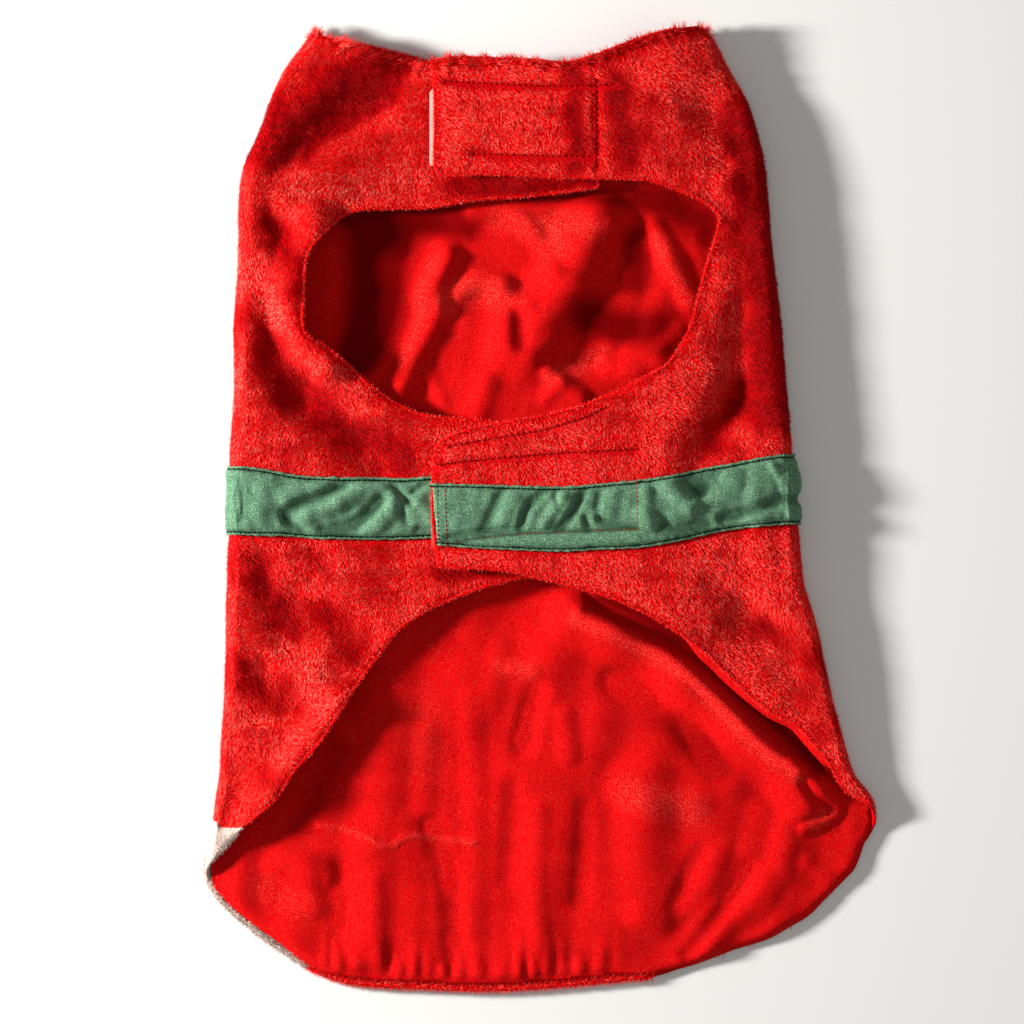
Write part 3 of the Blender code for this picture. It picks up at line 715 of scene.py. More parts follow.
@dataclass(frozen=True)
class PileFinish:
    """Short polyester plush laid by wear: painted shade at fibre roots, painted glints on some fibres."""

    name: str
    # painted shade at the foot of each fibre
    root: str
    body: str
    # painted glint colour, on a random share of the fibres
    fibre_glint: str
    # painted shade, mixed into the pile where brush_and_shade is above 0
    shade: str
    rare: float = 0.6  # the share of the fibres without a painted glint
    sheen: float = 0.03
    roughness: float = 0.6
    specular: float = 0.08
    body_from: float = 0.75  # how far up a fibre the painted shade of its root ends
    raised_gain: float = 1.25  # how much more painted glint there is where brush_and_shade is -1
    smooth_at: float = 0.8  # the brush_and_shade value at which the painted glint is gone
    # how far the painted shade goes where brush_and_shade is 1
    shade_share: float = 0.9

    def material(self) -> Material:
        """The fibres' material, from each fibre's tone and tip and the pile's brushing and painted shade."""
        material, tree, shader = new_material(
            self.name, self.roughness, self.sheen, self.specular, self.fibre_glint)
        tone, tip, brush_and_shade = (
            (add_node(tree, "ShaderNodeAttribute", attribute_name=name), "Fac")
            for name in ("tone", "tip", "brush_and_shade")
        )
        # painted shade at each fibre's root, gone at body_from up the fibre
        rise = add_node(tree, "ShaderNodeMapRange", {"Value": tip, "From Max": self.body_from})
        stem = add_node(tree, "ShaderNodeMix", {
            "Factor_Float": rise, "A_Color": linear(self.root), "B_Color": linear(self.body),
        }, data_type="RGBA")
        # painted glints on a random share of the fibres, fewer where the pile has painted shade
        catch = add_node(tree, "ShaderNodeMapRange", {"Value": tone, "From Min": self.rare})
        calm = add_node(tree, "ShaderNodeMapRange", {
            "Value": brush_and_shade, "From Min": -1.0, "From Max": self.smooth_at,
            "To Min": self.raised_gain, "To Max": 0.0,
        })
        share = add_node(tree, "ShaderNodeMath", {"Value": catch, "Value_001": calm}, operation="MULTIPLY")
        lit = add_node(tree, "ShaderNodeMath", {"Value": share, "Value_001": rise}, operation="MULTIPLY")
        coloured = add_node(tree, "ShaderNodeMix", {
            "Factor_Float": lit, "A_Color": (stem, "Result_Color"), "B_Color": linear(self.fibre_glint),
        }, data_type="RGBA")
        # painted shade where brush_and_shade is above 0
        turned = add_node(tree, "ShaderNodeMapRange", {"Value": brush_and_shade, "To Max": self.shade_share})
        brushed = add_node(tree, "ShaderNodeMix", {
            "Factor_Float": turned, "A_Color": (coloured, "Result_Color"), "B_Color": linear(self.shade),
        }, data_type="RGBA")
        feed(tree, shader, {"Base Color": (brushed, "Result_Color")})
        return material


@dataclass(frozen=True)
class GroundFinish:
    """The knitted ground of plush, seen between the fibres and at cut edges: dull, with an uneven grain."""

    name: str
    dark: str
    light: str
    grain_mm: float = 0.9
    grain_depth: float = 0.5
    roughness: float = 0.9
    sheen: float = 0.4
    specular: float = 0.2
    relief: float = 0.6

    def material(self) -> Material:
        """The material of the ground."""
        material, tree, shader = new_material(
            self.name, self.roughness, self.sheen, self.specular, self.light)
        grain = (add_grain(tree, self.grain_mm, 3.0), "Fac")
        tint = add_node(tree, "ShaderNodeMix", {
            "Factor_Float": grain, "A_Color": linear(self.dark), "B_Color": linear(self.light),
        }, data_type="RGBA")
        bump = add_node(tree, "ShaderNodeBump", {
            "Height": grain, "Strength": self.relief, "Distance": self.grain_depth * MM,
        })
        feed(tree, shader, {"Base Color": (tint, "Result_Color"), "Normal": bump})
        return material


@dataclass(frozen=True)
class SatinFinish:
    """Woven polyester satin: long floating threads that give a soft streaky sheen across the cloth.

    Real threads lie 0.12 mm apart, too fine for the picture. They are drawn as ribs of rib_mm, uneven as spun
    yarn is, so that the weave shows. Glints of a lighter colour on a random grain are painted highlights,
    grown where a piece's painted light is above 0, and painted shade is mixed in where it is below 0.
    """

    name: str
    deep: str
    body: str
    sheen_colour: str
    rib_mm: float = 0.6
    run_mm: float = 6.0
    pick_share: float = 0.35  # how much of the crossing threads shows
    pick_width: float = 1.3  # their width, in ribs
    tint_range: Point = (0.25, 0.65)  # the weave's range from its deep colour to its body's
    roughness: float = 0.65
    sheen: float = 0.02
    specular: float = 0.03
    relief: float = 0.9
    rib_depth: float = 0.05
    grain_mm: float = 0.45
    grain_share: float = 0.45
    # painted highlights: glints of a lighter colour on a random grain
    glint: str = "#FFFFFF"
    glint_range: Point = (0.5, 0.72)  # the grain's range from no glint to a full one
    glint_share: float = 0.2
    painted_glint_gain: float = 3.6  # how many times the painted glint grows where the painted light is above 0
    # painted shade, mixed in where the painted light is below 0
    painted_shade: str = "#520002"
    painted_shade_share: float = 0.86

    def material(self) -> Material:
        """The material, with its ribs along the second axis of the cloth."""
        material, tree, shader = new_material(
            self.name, self.roughness, self.sheen, self.specular, self.sheen_colour)
        cloth = add_node(tree, "ShaderNodeUVMap", uv_map=CLOTH_MAP)
        ribs = self.threads(tree, cloth, self.rib_mm, self.run_mm)
        picks = self.threads(tree, cloth, self.run_mm, self.rib_mm * self.pick_width)
        weave = (add_node(tree, "ShaderNodeMix", {
            "Factor_Float": self.pick_share, "A_Float": (ribs, "Fac"), "B_Float": (picks, "Fac"),
        }, data_type="FLOAT"), "Result_Float")
        spread = add_node(tree, "ShaderNodeMapRange", {
            "Value": weave, "From Min": self.tint_range[0], "From Max": self.tint_range[1],
        })
        tint = add_node(tree, "ShaderNodeMix", {
            "Factor_Float": spread, "A_Color": linear(self.deep), "B_Color": linear(self.body),
        }, data_type="RGBA")
        # painted highlights on a random grain, more where the piece's painted light is above 0, then painted
        # shade where it is below 0
        grain = (add_grain(tree, self.grain_mm, 1.0), "Fac")
        catch = add_node(tree, "ShaderNodeMapRange", {
            "Value": grain, "From Min": self.glint_range[0], "From Max": self.glint_range[1],
            "To Max": self.glint_share,
        })
        painted_light = (add_node(tree, "ShaderNodeAttribute", attribute_name="painted_light"), "Fac")
        turned = add_node(tree, "ShaderNodeMapRange", {
            "Value": painted_light, "To Min": 1.0, "To Max": self.painted_glint_gain,
        })
        share = add_node(tree, "ShaderNodeMath", {"Value": catch, "Value_001": turned}, operation="MULTIPLY")
        lit = add_node(tree, "ShaderNodeMix", {
            "Factor_Float": share, "A_Color": (tint, "Result_Color"), "B_Color": linear(self.glint),
        }, data_type="RGBA")
        away = add_node(tree, "ShaderNodeMapRange", {
            "Value": painted_light, "From Max": -1.0, "To Max": self.painted_shade_share,
        })
        seen = add_node(tree, "ShaderNodeMix", {
            "Factor_Float": away, "A_Color": (lit, "Result_Color"), "B_Color": linear(self.painted_shade),
        }, data_type="RGBA")
        height = add_node(tree, "ShaderNodeMix", {
            "Factor_Float": self.grain_share, "A_Float": weave, "B_Float": grain,
        }, data_type="FLOAT")
        bump = add_node(tree, "ShaderNodeBump", {
            "Height": (height, "Result_Float"), "Strength": self.relief, "Distance": self.rib_depth * MM,
        })
        feed(tree, shader, {"Base Color": (seen, "Result_Color"), "Normal": bump})
        return material

    def threads(self, tree: Tree, cloth: Node, across: float, along: float) -> Node:
        """Uneven threads of a width and a length, in millimetres."""
        scale = (1 / (across * MM), 1 / (along * MM), 1.0)
        drawn = add_node(tree, "ShaderNodeMapping", {"Vector": cloth, "Scale": scale})
        return add_node(tree, "ShaderNodeTexNoise", {"Vector": drawn, "Scale": 1.0, "Detail": 2.0})


@dataclass(frozen=True)
class ThreadFinish:
    """Spun polyester sewing thread: a slight gloss, and its twist drawn as fine painted light and shade."""

    name: str
    colour: str
    twist_mm: float = 0.5
    groove: float = 0.6  # the share of its colour left in the painted shade of its twist's grooves
    contrast: float = 0.1
    roughness: float = 0.5
    sheen: float = 0.2
    specular: float = 0.4

    def material(self) -> Material:
        """The material of the thread."""
        material, tree, shader = new_material(
            self.name, self.roughness, self.sheen, self.specular, self.colour)
        colour = linear(self.colour)
        groove = (*(self.groove * c for c in colour[:3]), 1.0)
        # the painted lit side of the twist
        crest = add_node(tree, "ShaderNodeBrightContrast", {"Color": colour, "Contrast": self.contrast})
        tint = add_node(tree, "ShaderNodeMix", {
            "Factor_Float": (add_grain(tree, self.twist_mm), "Fac"), "A_Color": groove, "B_Color": crest,
        }, data_type="RGBA")
        feed(tree, shader, {"Base Color": (tint, "Result_Color")})
        return material


class Finishes:
    """Every finish of the coat, made once."""

    def __init__(self) -> None:
        """Make the materials."""
        # each pile: root (painted shade), body, glint (painted highlight) and shade (painted shade)
        self.red_pile = PileFinish(
            "red_plush_pile", "#C80207", "#F9070B", "#FFA391", "#780005", rare=0.5).material()
        self.white_pile = PileFinish(
            "white_plush_pile", "#A68F83", "#CAB4A7", "#E4CFC2", "#AA9589").material()
        self.red_ground = GroundFinish("red_plush_ground", "#960206", "#C40509").material()
        self.red_edge = GroundFinish("red_plush_edge", "#B80408", "#EC100F", 0.6).material()
        self.white_ground = GroundFinish("white_plush_ground", "#AE998D", "#D0BBAE").material()
        # each satin: deep, body and sheen colours, a painted glint colour and, for the belt, its own painted
        # shade
        self.red_satin = SatinFinish(
            "red_lining_satin", "#A00004", "#C20207", "#FF5040", glint="#FF5E50").material()
        self.green_satin = SatinFinish(
            "green_belt_satin", "#26452F", "#4E7255", "#DCEEDC", glint="#A8CCAC", glint_share=0.5,
            painted_glint_gain=1.5, painted_shade="#1E3526").material()
        self.red_tape = GroundFinish("red_closure_tape", "#B01218", "#E8483C", 0.7).material()
        self.pale_tape = GroundFinish("pale_closure_tape", "#B4564C", "#D88C80", 0.7).material()
        self.red_thread = ThreadFinish("red_thread", "#C01014").material()
        self.dark_thread = ThreadFinish("dark_red_thread", "#A0060A").material()
        self.green_thread = ThreadFinish("green_thread", "#14291D").material()
        self.brown_thread = ThreadFinish("red_brown_thread", "#93423A").material()


class Repeater:
    """A Geometry Nodes tree that repeats a small shape, with the way to run it on a piece."""

    def __init__(self, name: str, inputs: dict[str, str]) -> None:
        """Start the tree with its named inputs, each with its kind."""
        self.tree = bpy.data.node_groups.new(name, "GeometryNodeTree")
        sockets = self.tree.interface
        sockets.new_socket("Geometry", in_out="INPUT", socket_type="NodeSocketGeometry")
        self.keys = {
            key: sockets.new_socket(key, in_out="INPUT", socket_type=f"NodeSocket{kind}").identifier
            for key, kind in inputs.items()
        }
        sockets.new_socket("Geometry", in_out="OUTPUT", socket_type="NodeSocketGeometry")
        self.start = add_node(self.tree, "NodeGroupInput")

    def stored(self, name: str, kind: str) -> bpy.types.NodeSocket:
        """A value that the base piece stores."""
        node = add_node(self.tree, "GeometryNodeInputNamedAttribute", {"Name": name}, data_type=kind)
        return output_of(node, "Attribute")

    def finish(self, instances: Node) -> None:
        """End the tree: the instances made real, with their material."""
        real = add_node(self.tree, "GeometryNodeRealizeInstances", {"Geometry": instances})
        dressed = add_node(self.tree, "GeometryNodeSetMaterial", {
            "Geometry": real, "Material": (self.start, "Material"),
        })
        add_node(self.tree, "NodeGroupOutput", {"Geometry": dressed})

    def run(self, name: str, base: Piece, values: dict[str, Any]) -> Piece:
        """Run the tree on a base piece, which it uses up.

        Args:
            name: The new piece's name.
            base: The piece that the tree reads.
            values: The value of each named input.

        Returns:
            The result as a plain mesh.
        """
        modifier = base.modifiers.new("Repeat", "NODES")
        modifier.node_group = self.tree
        for key, value in values.items():
            modifier[self.keys[key]] = value
        graph = bpy.context.evaluated_depsgraph_get()
        mesh = bpy.data.meshes.new_from_object(base.evaluated_get(graph), depsgraph=graph)
        bpy.data.objects.remove(base)
        mesh.name = name
        mesh.materials.clear()
        mesh.materials.append(values["Material"])
        return add_object(name, mesh)


class PileTree(Repeater):
    """Fibres of plush over a piece: each leans the way its place is brushed, with some scatter."""

    # the seeds of its random draws
    PLACES, LEANS, FACES, LENGTHS, TONES = 5, 11, 12, 13, 14
    FACE_SCATTER = 0.38
    LENGTH_RANGE = (0.6, 1.3)

    def __init__(self) -> None:
        """Build the tree."""
        super().__init__("pile", {
            "Fibre": "Object", "Density": "Float", "Length": "Float", "Width": "Float", "Rise": "Float",
            "Scatter": "Float", "Material": "Material",
        })
        tree, start = self.tree, self.start
        density = self.maths("MULTIPLY", (start, "Density"), self.stored("cover", "FLOAT"))
        points = add_node(tree, "GeometryNodeDistributePointsOnFaces", {
            "Mesh": (start, "Geometry"), "Density": density, "Seed": self.PLACES,
        }, distribute_method="RANDOM")
        normal = (points, "Normal")
        up = self.scaled(normal, (start, "Rise"))
        wild = self.scaled(self.random_vector(self.LEANS), (start, "Scatter"))
        lean = self.add_vectors(self.add_vectors(self.stored("nap", "FLOAT_VECTOR"), up), wild)
        face = self.add_vectors(normal, self.scaled(self.random_vector(self.FACES), self.FACE_SCATTER))
        turn = add_node(tree, "FunctionNodeAxesToRotation", {
            "Primary Axis": lean, "Secondary Axis": face,
        }, primary_axis="Y", secondary_axis="Z")
        long = self.maths("MULTIPLY", (start, "Length"), self.random_number(*self.LENGTH_RANGE, self.LENGTHS))
        long = self.maths("MULTIPLY", long, self.stored("height", "FLOAT"))
        size = add_node(tree, "ShaderNodeCombineXYZ", {"X": (start, "Width"), "Y": long, "Z": 1.0})
        toned = add_node(tree, "GeometryNodeStoreNamedAttribute", {
            "Geometry": (points, "Points"), "Name": "tone", "Value": self.random_number(0.0, 1.0, self.TONES),
        }, data_type="FLOAT", domain="POINT")
        shape = add_node(tree, "GeometryNodeObjectInfo", {"Object": (start, "Fibre")})
        self.finish(add_node(tree, "GeometryNodeInstanceOnPoints", {
            "Points": toned, "Instance": (shape, "Geometry"), "Rotation": turn, "Scale": size,
        }))

    def maths(self, operation: str, first: Any, second: Any) -> Node:
        """A sum on two numbers."""
        inputs = {"Value": first, "Value_001": second}
        return add_node(self.tree, "ShaderNodeMath", inputs, operation=operation)

    def scaled(self, vector: Any, scale: Any) -> Node:
        """A vector times a number."""
        inputs = {"Vector": vector, "Scale": scale}
        return add_node(self.tree, "ShaderNodeVectorMath", inputs, operation="SCALE")

    def add_vectors(self, first: Any, second: Any) -> Node:
        """The sum of two vectors."""
        inputs = {"Vector": first, "Vector_001": second}
        return add_node(self.tree, "ShaderNodeVectorMath", inputs, operation="ADD")

    def random_vector(self, seed: int) -> bpy.types.NodeSocket:
        """A random vector for each fibre, from -1 to 1 along each axis."""
        inputs = {"Min": (-1, -1, -1), "Max": (1, 1, 1), "Seed": seed}
        node = add_node(self.tree, "FunctionNodeRandomValue", inputs, data_type="FLOAT_VECTOR")
        return output_of(node, "Value")

    def random_number(self, low: float, high: float, seed: int) -> bpy.types.NodeSocket:
        """A random number for each fibre."""
        inputs = {"Min_001": low, "Max_001": high, "Seed": seed}
        node = add_node(self.tree, "FunctionNodeRandomValue", inputs, data_type="FLOAT")
        return output_of(node, "Value_001")


class StitchTree(Repeater):
    """Stitches at an even pitch along a run of points, each laid on the cloth."""

    def __init__(self) -> None:
        """Build the tree."""
        super().__init__("stitches", {"Stitch": "Object", "Pitch": "Float", "Material": "Material"})
        tree, start = self.tree, self.start
        path = add_node(tree, "GeometryNodeMeshToCurve", {"Mesh": (start, "Geometry")})
        points = add_node(tree, "GeometryNodeCurveToPoints", {
            "Curve": path, "Length": (start, "Pitch"),
        }, mode="LENGTH")
        turn = add_node(tree, "FunctionNodeAxesToRotation", {
            "Primary Axis": (points, "Tangent"), "Secondary Axis": self.stored("up", "FLOAT_VECTOR"),
        }, primary_axis="Y", secondary_axis="Z")
        shape = add_node(tree, "GeometryNodeObjectInfo", {"Object": (start, "Stitch")})
        self.finish(add_node(tree, "GeometryNodeInstanceOnPoints", {
            "Points": (points, "Points"), "Instance": (shape, "Geometry"), "Rotation": turn,
        }))


@dataclass(frozen=True)
class Cord:
    """The sizes of a furry cord: how far out it lies, its radius, its core's, and its fibres' own."""

    out: float
    radius: float
    core: float
    density: float
    length: float


@dataclass
class Workshop:
    """What every piece is made with: the finishes, the two trees, and the small shapes that they repeat."""

    finishes: Finishes = field(default_factory=Finishes)
    pile: PileTree = field(default_factory=PileTree)
    stitches: StitchTree = field(default_factory=StitchTree)
    seam_step: float = 1.0
    stitch_sides: int = 6
    stitch_dip: float = 1.6  # how deep a stitch's ends dip, in its thicknesses
    fuzz_from: Point = (-0.3, 0.3)  # how far up a cord's side must look to be bare, and to be fully covered
    fuzz_way: tuple[float, float, float] = (1.0, 1.0, 0.4)
    # place along a stitch, size of its ring there
    stitch_rings: tuple[Point, ...] = ((-0.5, 0.35), (-0.3, 0.95), (0.0, 1.1), (0.3, 0.95), (0.5, 0.35))

    def fibre(self) -> Piece:
        """One fibre, 1 long and 1 wide at its root."""
        corners = np.array([(-0.5, 0, 0), (0.5, 0, 0), (0, 1, 0)]) / MM
        fibre = mesh_object("fibre", corners, [(0, 1, 2)], smooth=False)
        set_attribute(fibre.data, "tip", np.array([0.0, 0.0, 1.0]))
        return fibre

    def stitch(self, length: float, thickness: float, slant: float) -> Piece:
        """One stitch: a short round thread that dips into the cloth at both ends.

        Args:
            length: Its length in millimetres.
            thickness: Its thickness.
            slant: How far it is turned from the line of the seam, in degrees.

        Returns:
            The stitch.
        """
        turn = np.arange(self.stitch_sides) * math.tau / self.stitch_sides
        rings = []
        for along, size in self.stitch_rings:
            dip = -thickness * self.stitch_dip * abs(along) ** 2 * 2
            rings.append(np.column_stack([
                np.cos(turn) * thickness / 2 * size,
                np.full(len(turn), along * length),
                np.sin(turn) * thickness / 2 * size + dip,
            ]))
        c, s = math.cos(math.radians(slant)), math.sin(math.radians(slant))
        spin = np.array([[c, s, 0], [-s, c, 0], [0, 0, 1]])
        return mesh_object("stitch", np.vstack(rings) @ spin, ring_faces(len(rings), len(turn)))

    def sew(self, name: str, surface: Surface, runs: Sequence[Array], out: float | ByPoint,
            material: Material, pitch: float = 2.8, length: float = 2.3, thickness: float = 0.5,
            slant: float = 0.0) -> Piece:
        """Sew along runs of a pattern.

        Args:
            name: The piece's name.
            surface: The surface that the runs lie on.
            runs: The runs, in the pattern.
            out: How far out of the surface the thread lies, as a number or by the points of the runs.
            material: The thread's finish.
            pitch: From one stitch to the next.
            length: A stitch's length.
            thickness: The thread's thickness, drawn as coarse as it needs to show.
            slant: The stitches' slant to the seam, in degrees.

        Returns:
            All the stitches as one piece.
        """
        points, ups, edges, count = [], [], [], 0
        for run in runs:
            run = evenly(run, self.seam_step)
            points.append(surface.at(run, value_at(out, run)))
            ups.append(surface.normal(run))
            edges += [(count + k, count + k + 1) for k in range(len(run) - 1)]
            count += len(run)
        mesh = bpy.data.meshes.new("seam")
        mesh.from_pydata((np.vstack(points) * MM).tolist(), edges, [])
        set_attribute(mesh, "up", np.vstack(ups))
        base = add_object("seam", mesh)
        stitch = self.stitch(length, thickness, slant)
        piece = self.stitches.run(name, base, {"Stitch": stitch, "Pitch": pitch * MM, "Material": material})
        bpy.data.objects.remove(stitch)
        for face in piece.data.polygons:
            face.use_smooth = True
        return piece

    def grow(self, name: str, base: Piece, density: float, length: float, material: Material,
             rise: float = 0.36, scatter: float = 0.42, width: float = 0.32) -> Piece:
        """Grow pile on a base piece, which is used up.

        Args:
            name: The pile's name.
            base: The piece that it grows on.
            density: How many fibres stand on a square millimetre.
            length: A fibre's length.
            material: The fibres' finish.
            rise: How steeply they stand.
            scatter: How unlike each other they lie.
            width: A fibre's width at its root, drawn as coarse as it needs to show.

        Returns:
            The pile.
        """
        fibre = self.fibre()
        piece = self.pile.run(name, base, {
            "Fibre": fibre, "Density": density / MM**2, "Length": length * MM, "Width": width * MM,
            "Rise": rise, "Scatter": scatter, "Material": material,
        })
        bpy.data.objects.remove(fibre)
        return piece

    def furry_cord(self, name: str, surface: Surface, run: Array, cord: Cord, slot: str, cloth: Material,
                   pile: Material) -> None:
        """Lay a cord of cloth along an edge, with short fibres out of its upper half.

        Args:
            name: The cord's name.
            surface: The surface that it follows.
            run: The run, in the pattern.
            cord: Its sizes.
            slot: Not used.
            cloth: The cord's finish.
            pile: The fibres' finish.
        """
        show(tube(name, surface, run, cord.out, cord.radius), cloth)
        core = tube("ground", surface, run, cord.out, cord.core)
        normals = np.array([tuple(vertex.normal) for vertex in core.data.vertices])
        set_attribute(core.data, "cover", smoothstep(normals[:, 2], *self.fuzz_from))
        set_attribute(core.data, "height", np.ones(len(normals)))
        set_attribute(core.data, "brush_and_shade", np.zeros(len(normals)))
        set_attribute(core.data, "nap", normals * np.array(self.fuzz_way))
        show(self.grow(f"{name}_fuzz", core, cord.density, cord.length, pile, rise=0.1, scatter=0.8,
                       width=0.3))


def show(piece: Piece, material: Material | None = None,
         nodes: Sequence[str] = ()) -> Piece:
    """Hand a piece to the frame: its finish, its body and the solids that it stands for."""
    if material is not None:
        piece.data.materials.clear()
        piece.data.materials.append(material)
    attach(piece, BODY)
    if nodes:
        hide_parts(*nodes)
    press_flat(piece)
    LOG.info("%s: %d faces", piece.name, len(piece.data.polygons))
    return piece


def press_flat(piece: Piece) -> None:
    """Press what would reach below the surface flat on it, as the coat's weight does to the pile."""
    points = np.empty(3 * len(piece.data.vertices))
    piece.data.vertices.foreach_get("co", points)
    wall = sum(modifier.thickness for modifier in piece.modifiers if modifier.type == "SOLIDIFY")
    points[2::3] = np.maximum(points[2::3], FLOOR_GAP * MM + wall)
    piece.data.vertices.foreach_set("co", points)
    piece.data.update()


@dataclass(frozen=True)
class Belt:
    """The green satin band, with its long edges turned under and topstitched."""

    # x, y of its upper edge, y of its lower edge
    edges: dict[Side, tuple[tuple[float, float, float], ...]] = by_side(
        ((-157, 21.5, -13.5), (-140, 19.5, -14), (-120, 16, -15), (-95, 15, -16), (-70, 14.5, -16),
         (-46, 16.5, -15)),
        ((-52, 12, -19), (-30, 11.5, -20.5), (10, 10.5, -22), (30, 12, -21), (50, 14, -20), (70, 17, -16.5),
         (90, 21, -12), (110, 25, -9.5), (130, 28, -8)),
    )
    end: dict[Side, float] = by_side(-46.0, -53.2)
    topstitch: float = 1.5  # from each edge
    line_passes: int = 3  # how often an edge's run is brought nearer to its table
    slack: float = 1.1  # how far the cloth stands up between its topstitching
    free_from: float = 5.0  # how far inside its edges the cloth stands free
    crease_depth: float = 1.6
    # painted light on the satin, lighter on crests and darker in troughs
    crease_painted_light: float = 0.55
    lowest: float = -0.3  # the deepest that a crease goes
    turned_edge: Ridge = Ridge(0.5, 1.1, 0.8)
    # painted highlight along each turned edge
    edge_painted_highlight: Ridge = Ridge(0.5, 0.9, 0.9)
    inner_roll: Ridge = Ridge(3.1, 1.5, 0.5)
    # from the topstitching
    groove: Ridge = Ridge(0.0, 1.2, -1.1)
    # painted shade along the topstitching
    groove_painted_shade: Ridge = Ridge(0.2, 1.2, -1.2)
    stitch_rise: float = 0.1
    # the stitches' beat along the upper and the lower edge, and the mean and the swing of the puckers
    beats: Point = (1.15, 0.9)
    beat_drift: float = 0.21
    pucker: Point = (0.75, 0.25)
    scallop: float = 0.22
    ripples: dict[Side, tuple[Drift, Drift]] = by_side(
        (Drift(0.3, 9.0, 2), Drift(0.16, 4.0, 4)), (Drift(0.3, 9.0, 4), Drift(0.16, 4.0, 6)))
    # the seam that holds the strap's end, where x is within its span, and the puff of cloth below it
    box_span: Span = (-49, -38, 46, 56)
    box_ease: float = 6.0  # how much freer the cloth is beyond the span
    box_groove: Ridge = Ridge(0.0, 1.3, -0.8)
    # painted shade along that seam
    box_painted_shade: Ridge = Ridge(0.0, 1.4, -1.2)
    box_stitch_rise: float = 0.05
    puff_rise: float = 1.5
    # painted highlight on the puff
    puff_painted_highlight: Ridge = Ridge(3.0, 2.0, 0.8)
    least_room: float = 0.6  # between that seam and the lower topstitching
    box_sides: tuple[tuple[Point, Point], ...] = (
        ((-51.6, 12), (-51.4, -19.5)), ((-48, 11.9), (-47, -19)), ((47.6, 13.2), (47.8, -11)),
    )
    box: tuple[Point, ...] = ((-46.5, -18.8), (-36, -16.2), (-10.5, -13.4), (9.5, -12.3), (48, -10.8))
    creases: dict[Side, tuple[Fold, ...]] = by_side(
        fold_table(
            (5, -0.6, (-152, 14), (-151, -10)),
            (6, 0.4, (-140, 8), (-138, -6)),
            (5.5, -1.2, (-127, -3), (-120, 1.5), (-108, 5.5), (-99, 10.5)),
            (6, 0.6, (-132, 2), (-119, 8), (-108, 12)),
            (6.5, 1.0, (-117, -5), (-105, 1), (-92, 7)),
            (5.5, -1.3, (-108, -12), (-96, -10.5), (-86, -3), (-80, 4)),
            (6, 0.8, (-86, -12), (-76, -4), (-73, 4)),
            (4.5, -1.1, (-127, -6), (-119, -11)),
            (3.2, -1.0, (-73.5, 11.5), (-70, 6), (-65, 2)),
            (3.5, -1.0, (-63, 8), (-57, 13)),
            (3.5, -0.7, (-70, 0), (-67, -7)),
            (3.5, -0.8, (-61, -11), (-52, -12)),
            (5, 0.6, (-90, 12), (-80, 9)),
            (5, 0.5, (-62, 3), (-55, -4)),
        ),
        fold_table(
            (4.4, -0.8, (-19.5, 9), (-24, -1), (-28, -11)),
            (3.8, -1.2, (2, 9.5), (-7, -1), (-10, -11)),
            (3.0, -0.9, (7, 9), (8, 3)),
            (4.0, -1.4, (21, 9), (17, -1), (9.5, -11.5)),
            (3.4, -0.8, (29.5, 8), (28, 0)),
            (3.4, -1.0, (22, -5), (24.5, -11)),
            (3.6, -1.1, (29, -5.5), (38, -8.5), (47, -10)),
            (3.6, -0.9, (-46, -15.5), (-30, -12.5), (-12, -10.5)),
            (4.4, 0.5, (-12, 8), (-19, -8)),
            (3.8, 0.8, (12, 8), (6, -1), (1, -9)),
            (7, 0.3, (-34, 7), (-40, -8)),
            (6, 0.4, (36, 8), (34, -3)),
            (5, 0.5, (52, 9), (54, -8)),
            (6, 1.3, (60, 15), (65, 8), (74, 1)),
            (8, -1.4, (71, 17), (78, 9)),
            (6, -0.8, (86, 17), (80, 9)),
            (5, 0.8, (50, -3), (57, -7)),
            (6, -1.4, (60, -9), (70, -12), (82, -9)),
            (3.2, 0.8, (77, 3), (93, 3.5), (109, 1)),
            (4.6, -1.3, (90, -5.5), (104, -2), (120, 4)),
            (8, 0.7, (96, 14), (104, 10)),
            (2.8, 0.7, (114, 22), (121, 11), (122.5, 4)),
            (4, 0.5, (104, -8), (118, -5)),
        ),
    )

    def line(self, side: Side, edge: Edge, inset: float, spacing: float = 2.0) -> Array:
        """A run along an edge of the belt, in a front's pattern, some way in from the edge."""
        far = float(FORM.on_top(side, np.array([[self.end[side], 0.0]]))[0, 0])
        p = np.linspace(-TURN - UNDERLAP, far, round((far + TURN + UNDERLAP) / spacing) + 1)
        y = np.zeros_like(p)
        for _ in range(self.line_passes):
            x = FORM.seen_x(side, np.column_stack([p, y]))
            y = read_table(self.edges[side], x, edge.value) + inset * (-1 if edge is Edge.UPPER else 1)
        scallop = self.scallop * self.beat(p, Edge.UPPER) * (1 - smoothstep(inset, 0.0, self.topstitch))
        return np.column_stack([p, y + scallop])

    def beat(self, p: Array, edge: Edge) -> Array:
        """The uneven beat of an edge's stitches, from -1 to 1."""
        return np.sin(self.beats[edge.value - 1] * p + 2 * np.sin(self.beat_drift * p))

    def seat(self, side: Side, pattern: Array) -> Array:
        """How far out of the plush the band's outer face lies."""
        return BAND_SEAT + BAND_WALL + self.relief(side, pattern)

    def across(self, side: Side, pattern: Array) -> tuple[Array, Array]:
        """How far points of a front's pattern lie inside the belt's upper and lower edges."""
        x = FORM.seen_x(side, pattern)
        upper, lower = (read_table(self.edges[side], x, edge.value) for edge in Edge)
        return upper - pattern[:, 1], pattern[:, 1] - lower

    def covers(self, side: Side, pattern: Array, margin: float = 0.0) -> Array:
        """Whether the belt covers points of a front's pattern, with a margin round it."""
        from_top, from_bottom = self.across(side, pattern)
        beyond = side.value * (FORM.seen_x(side, pattern) - self.end[side]) > -margin
        return (from_top > -margin) & (from_bottom > -margin) & beyond

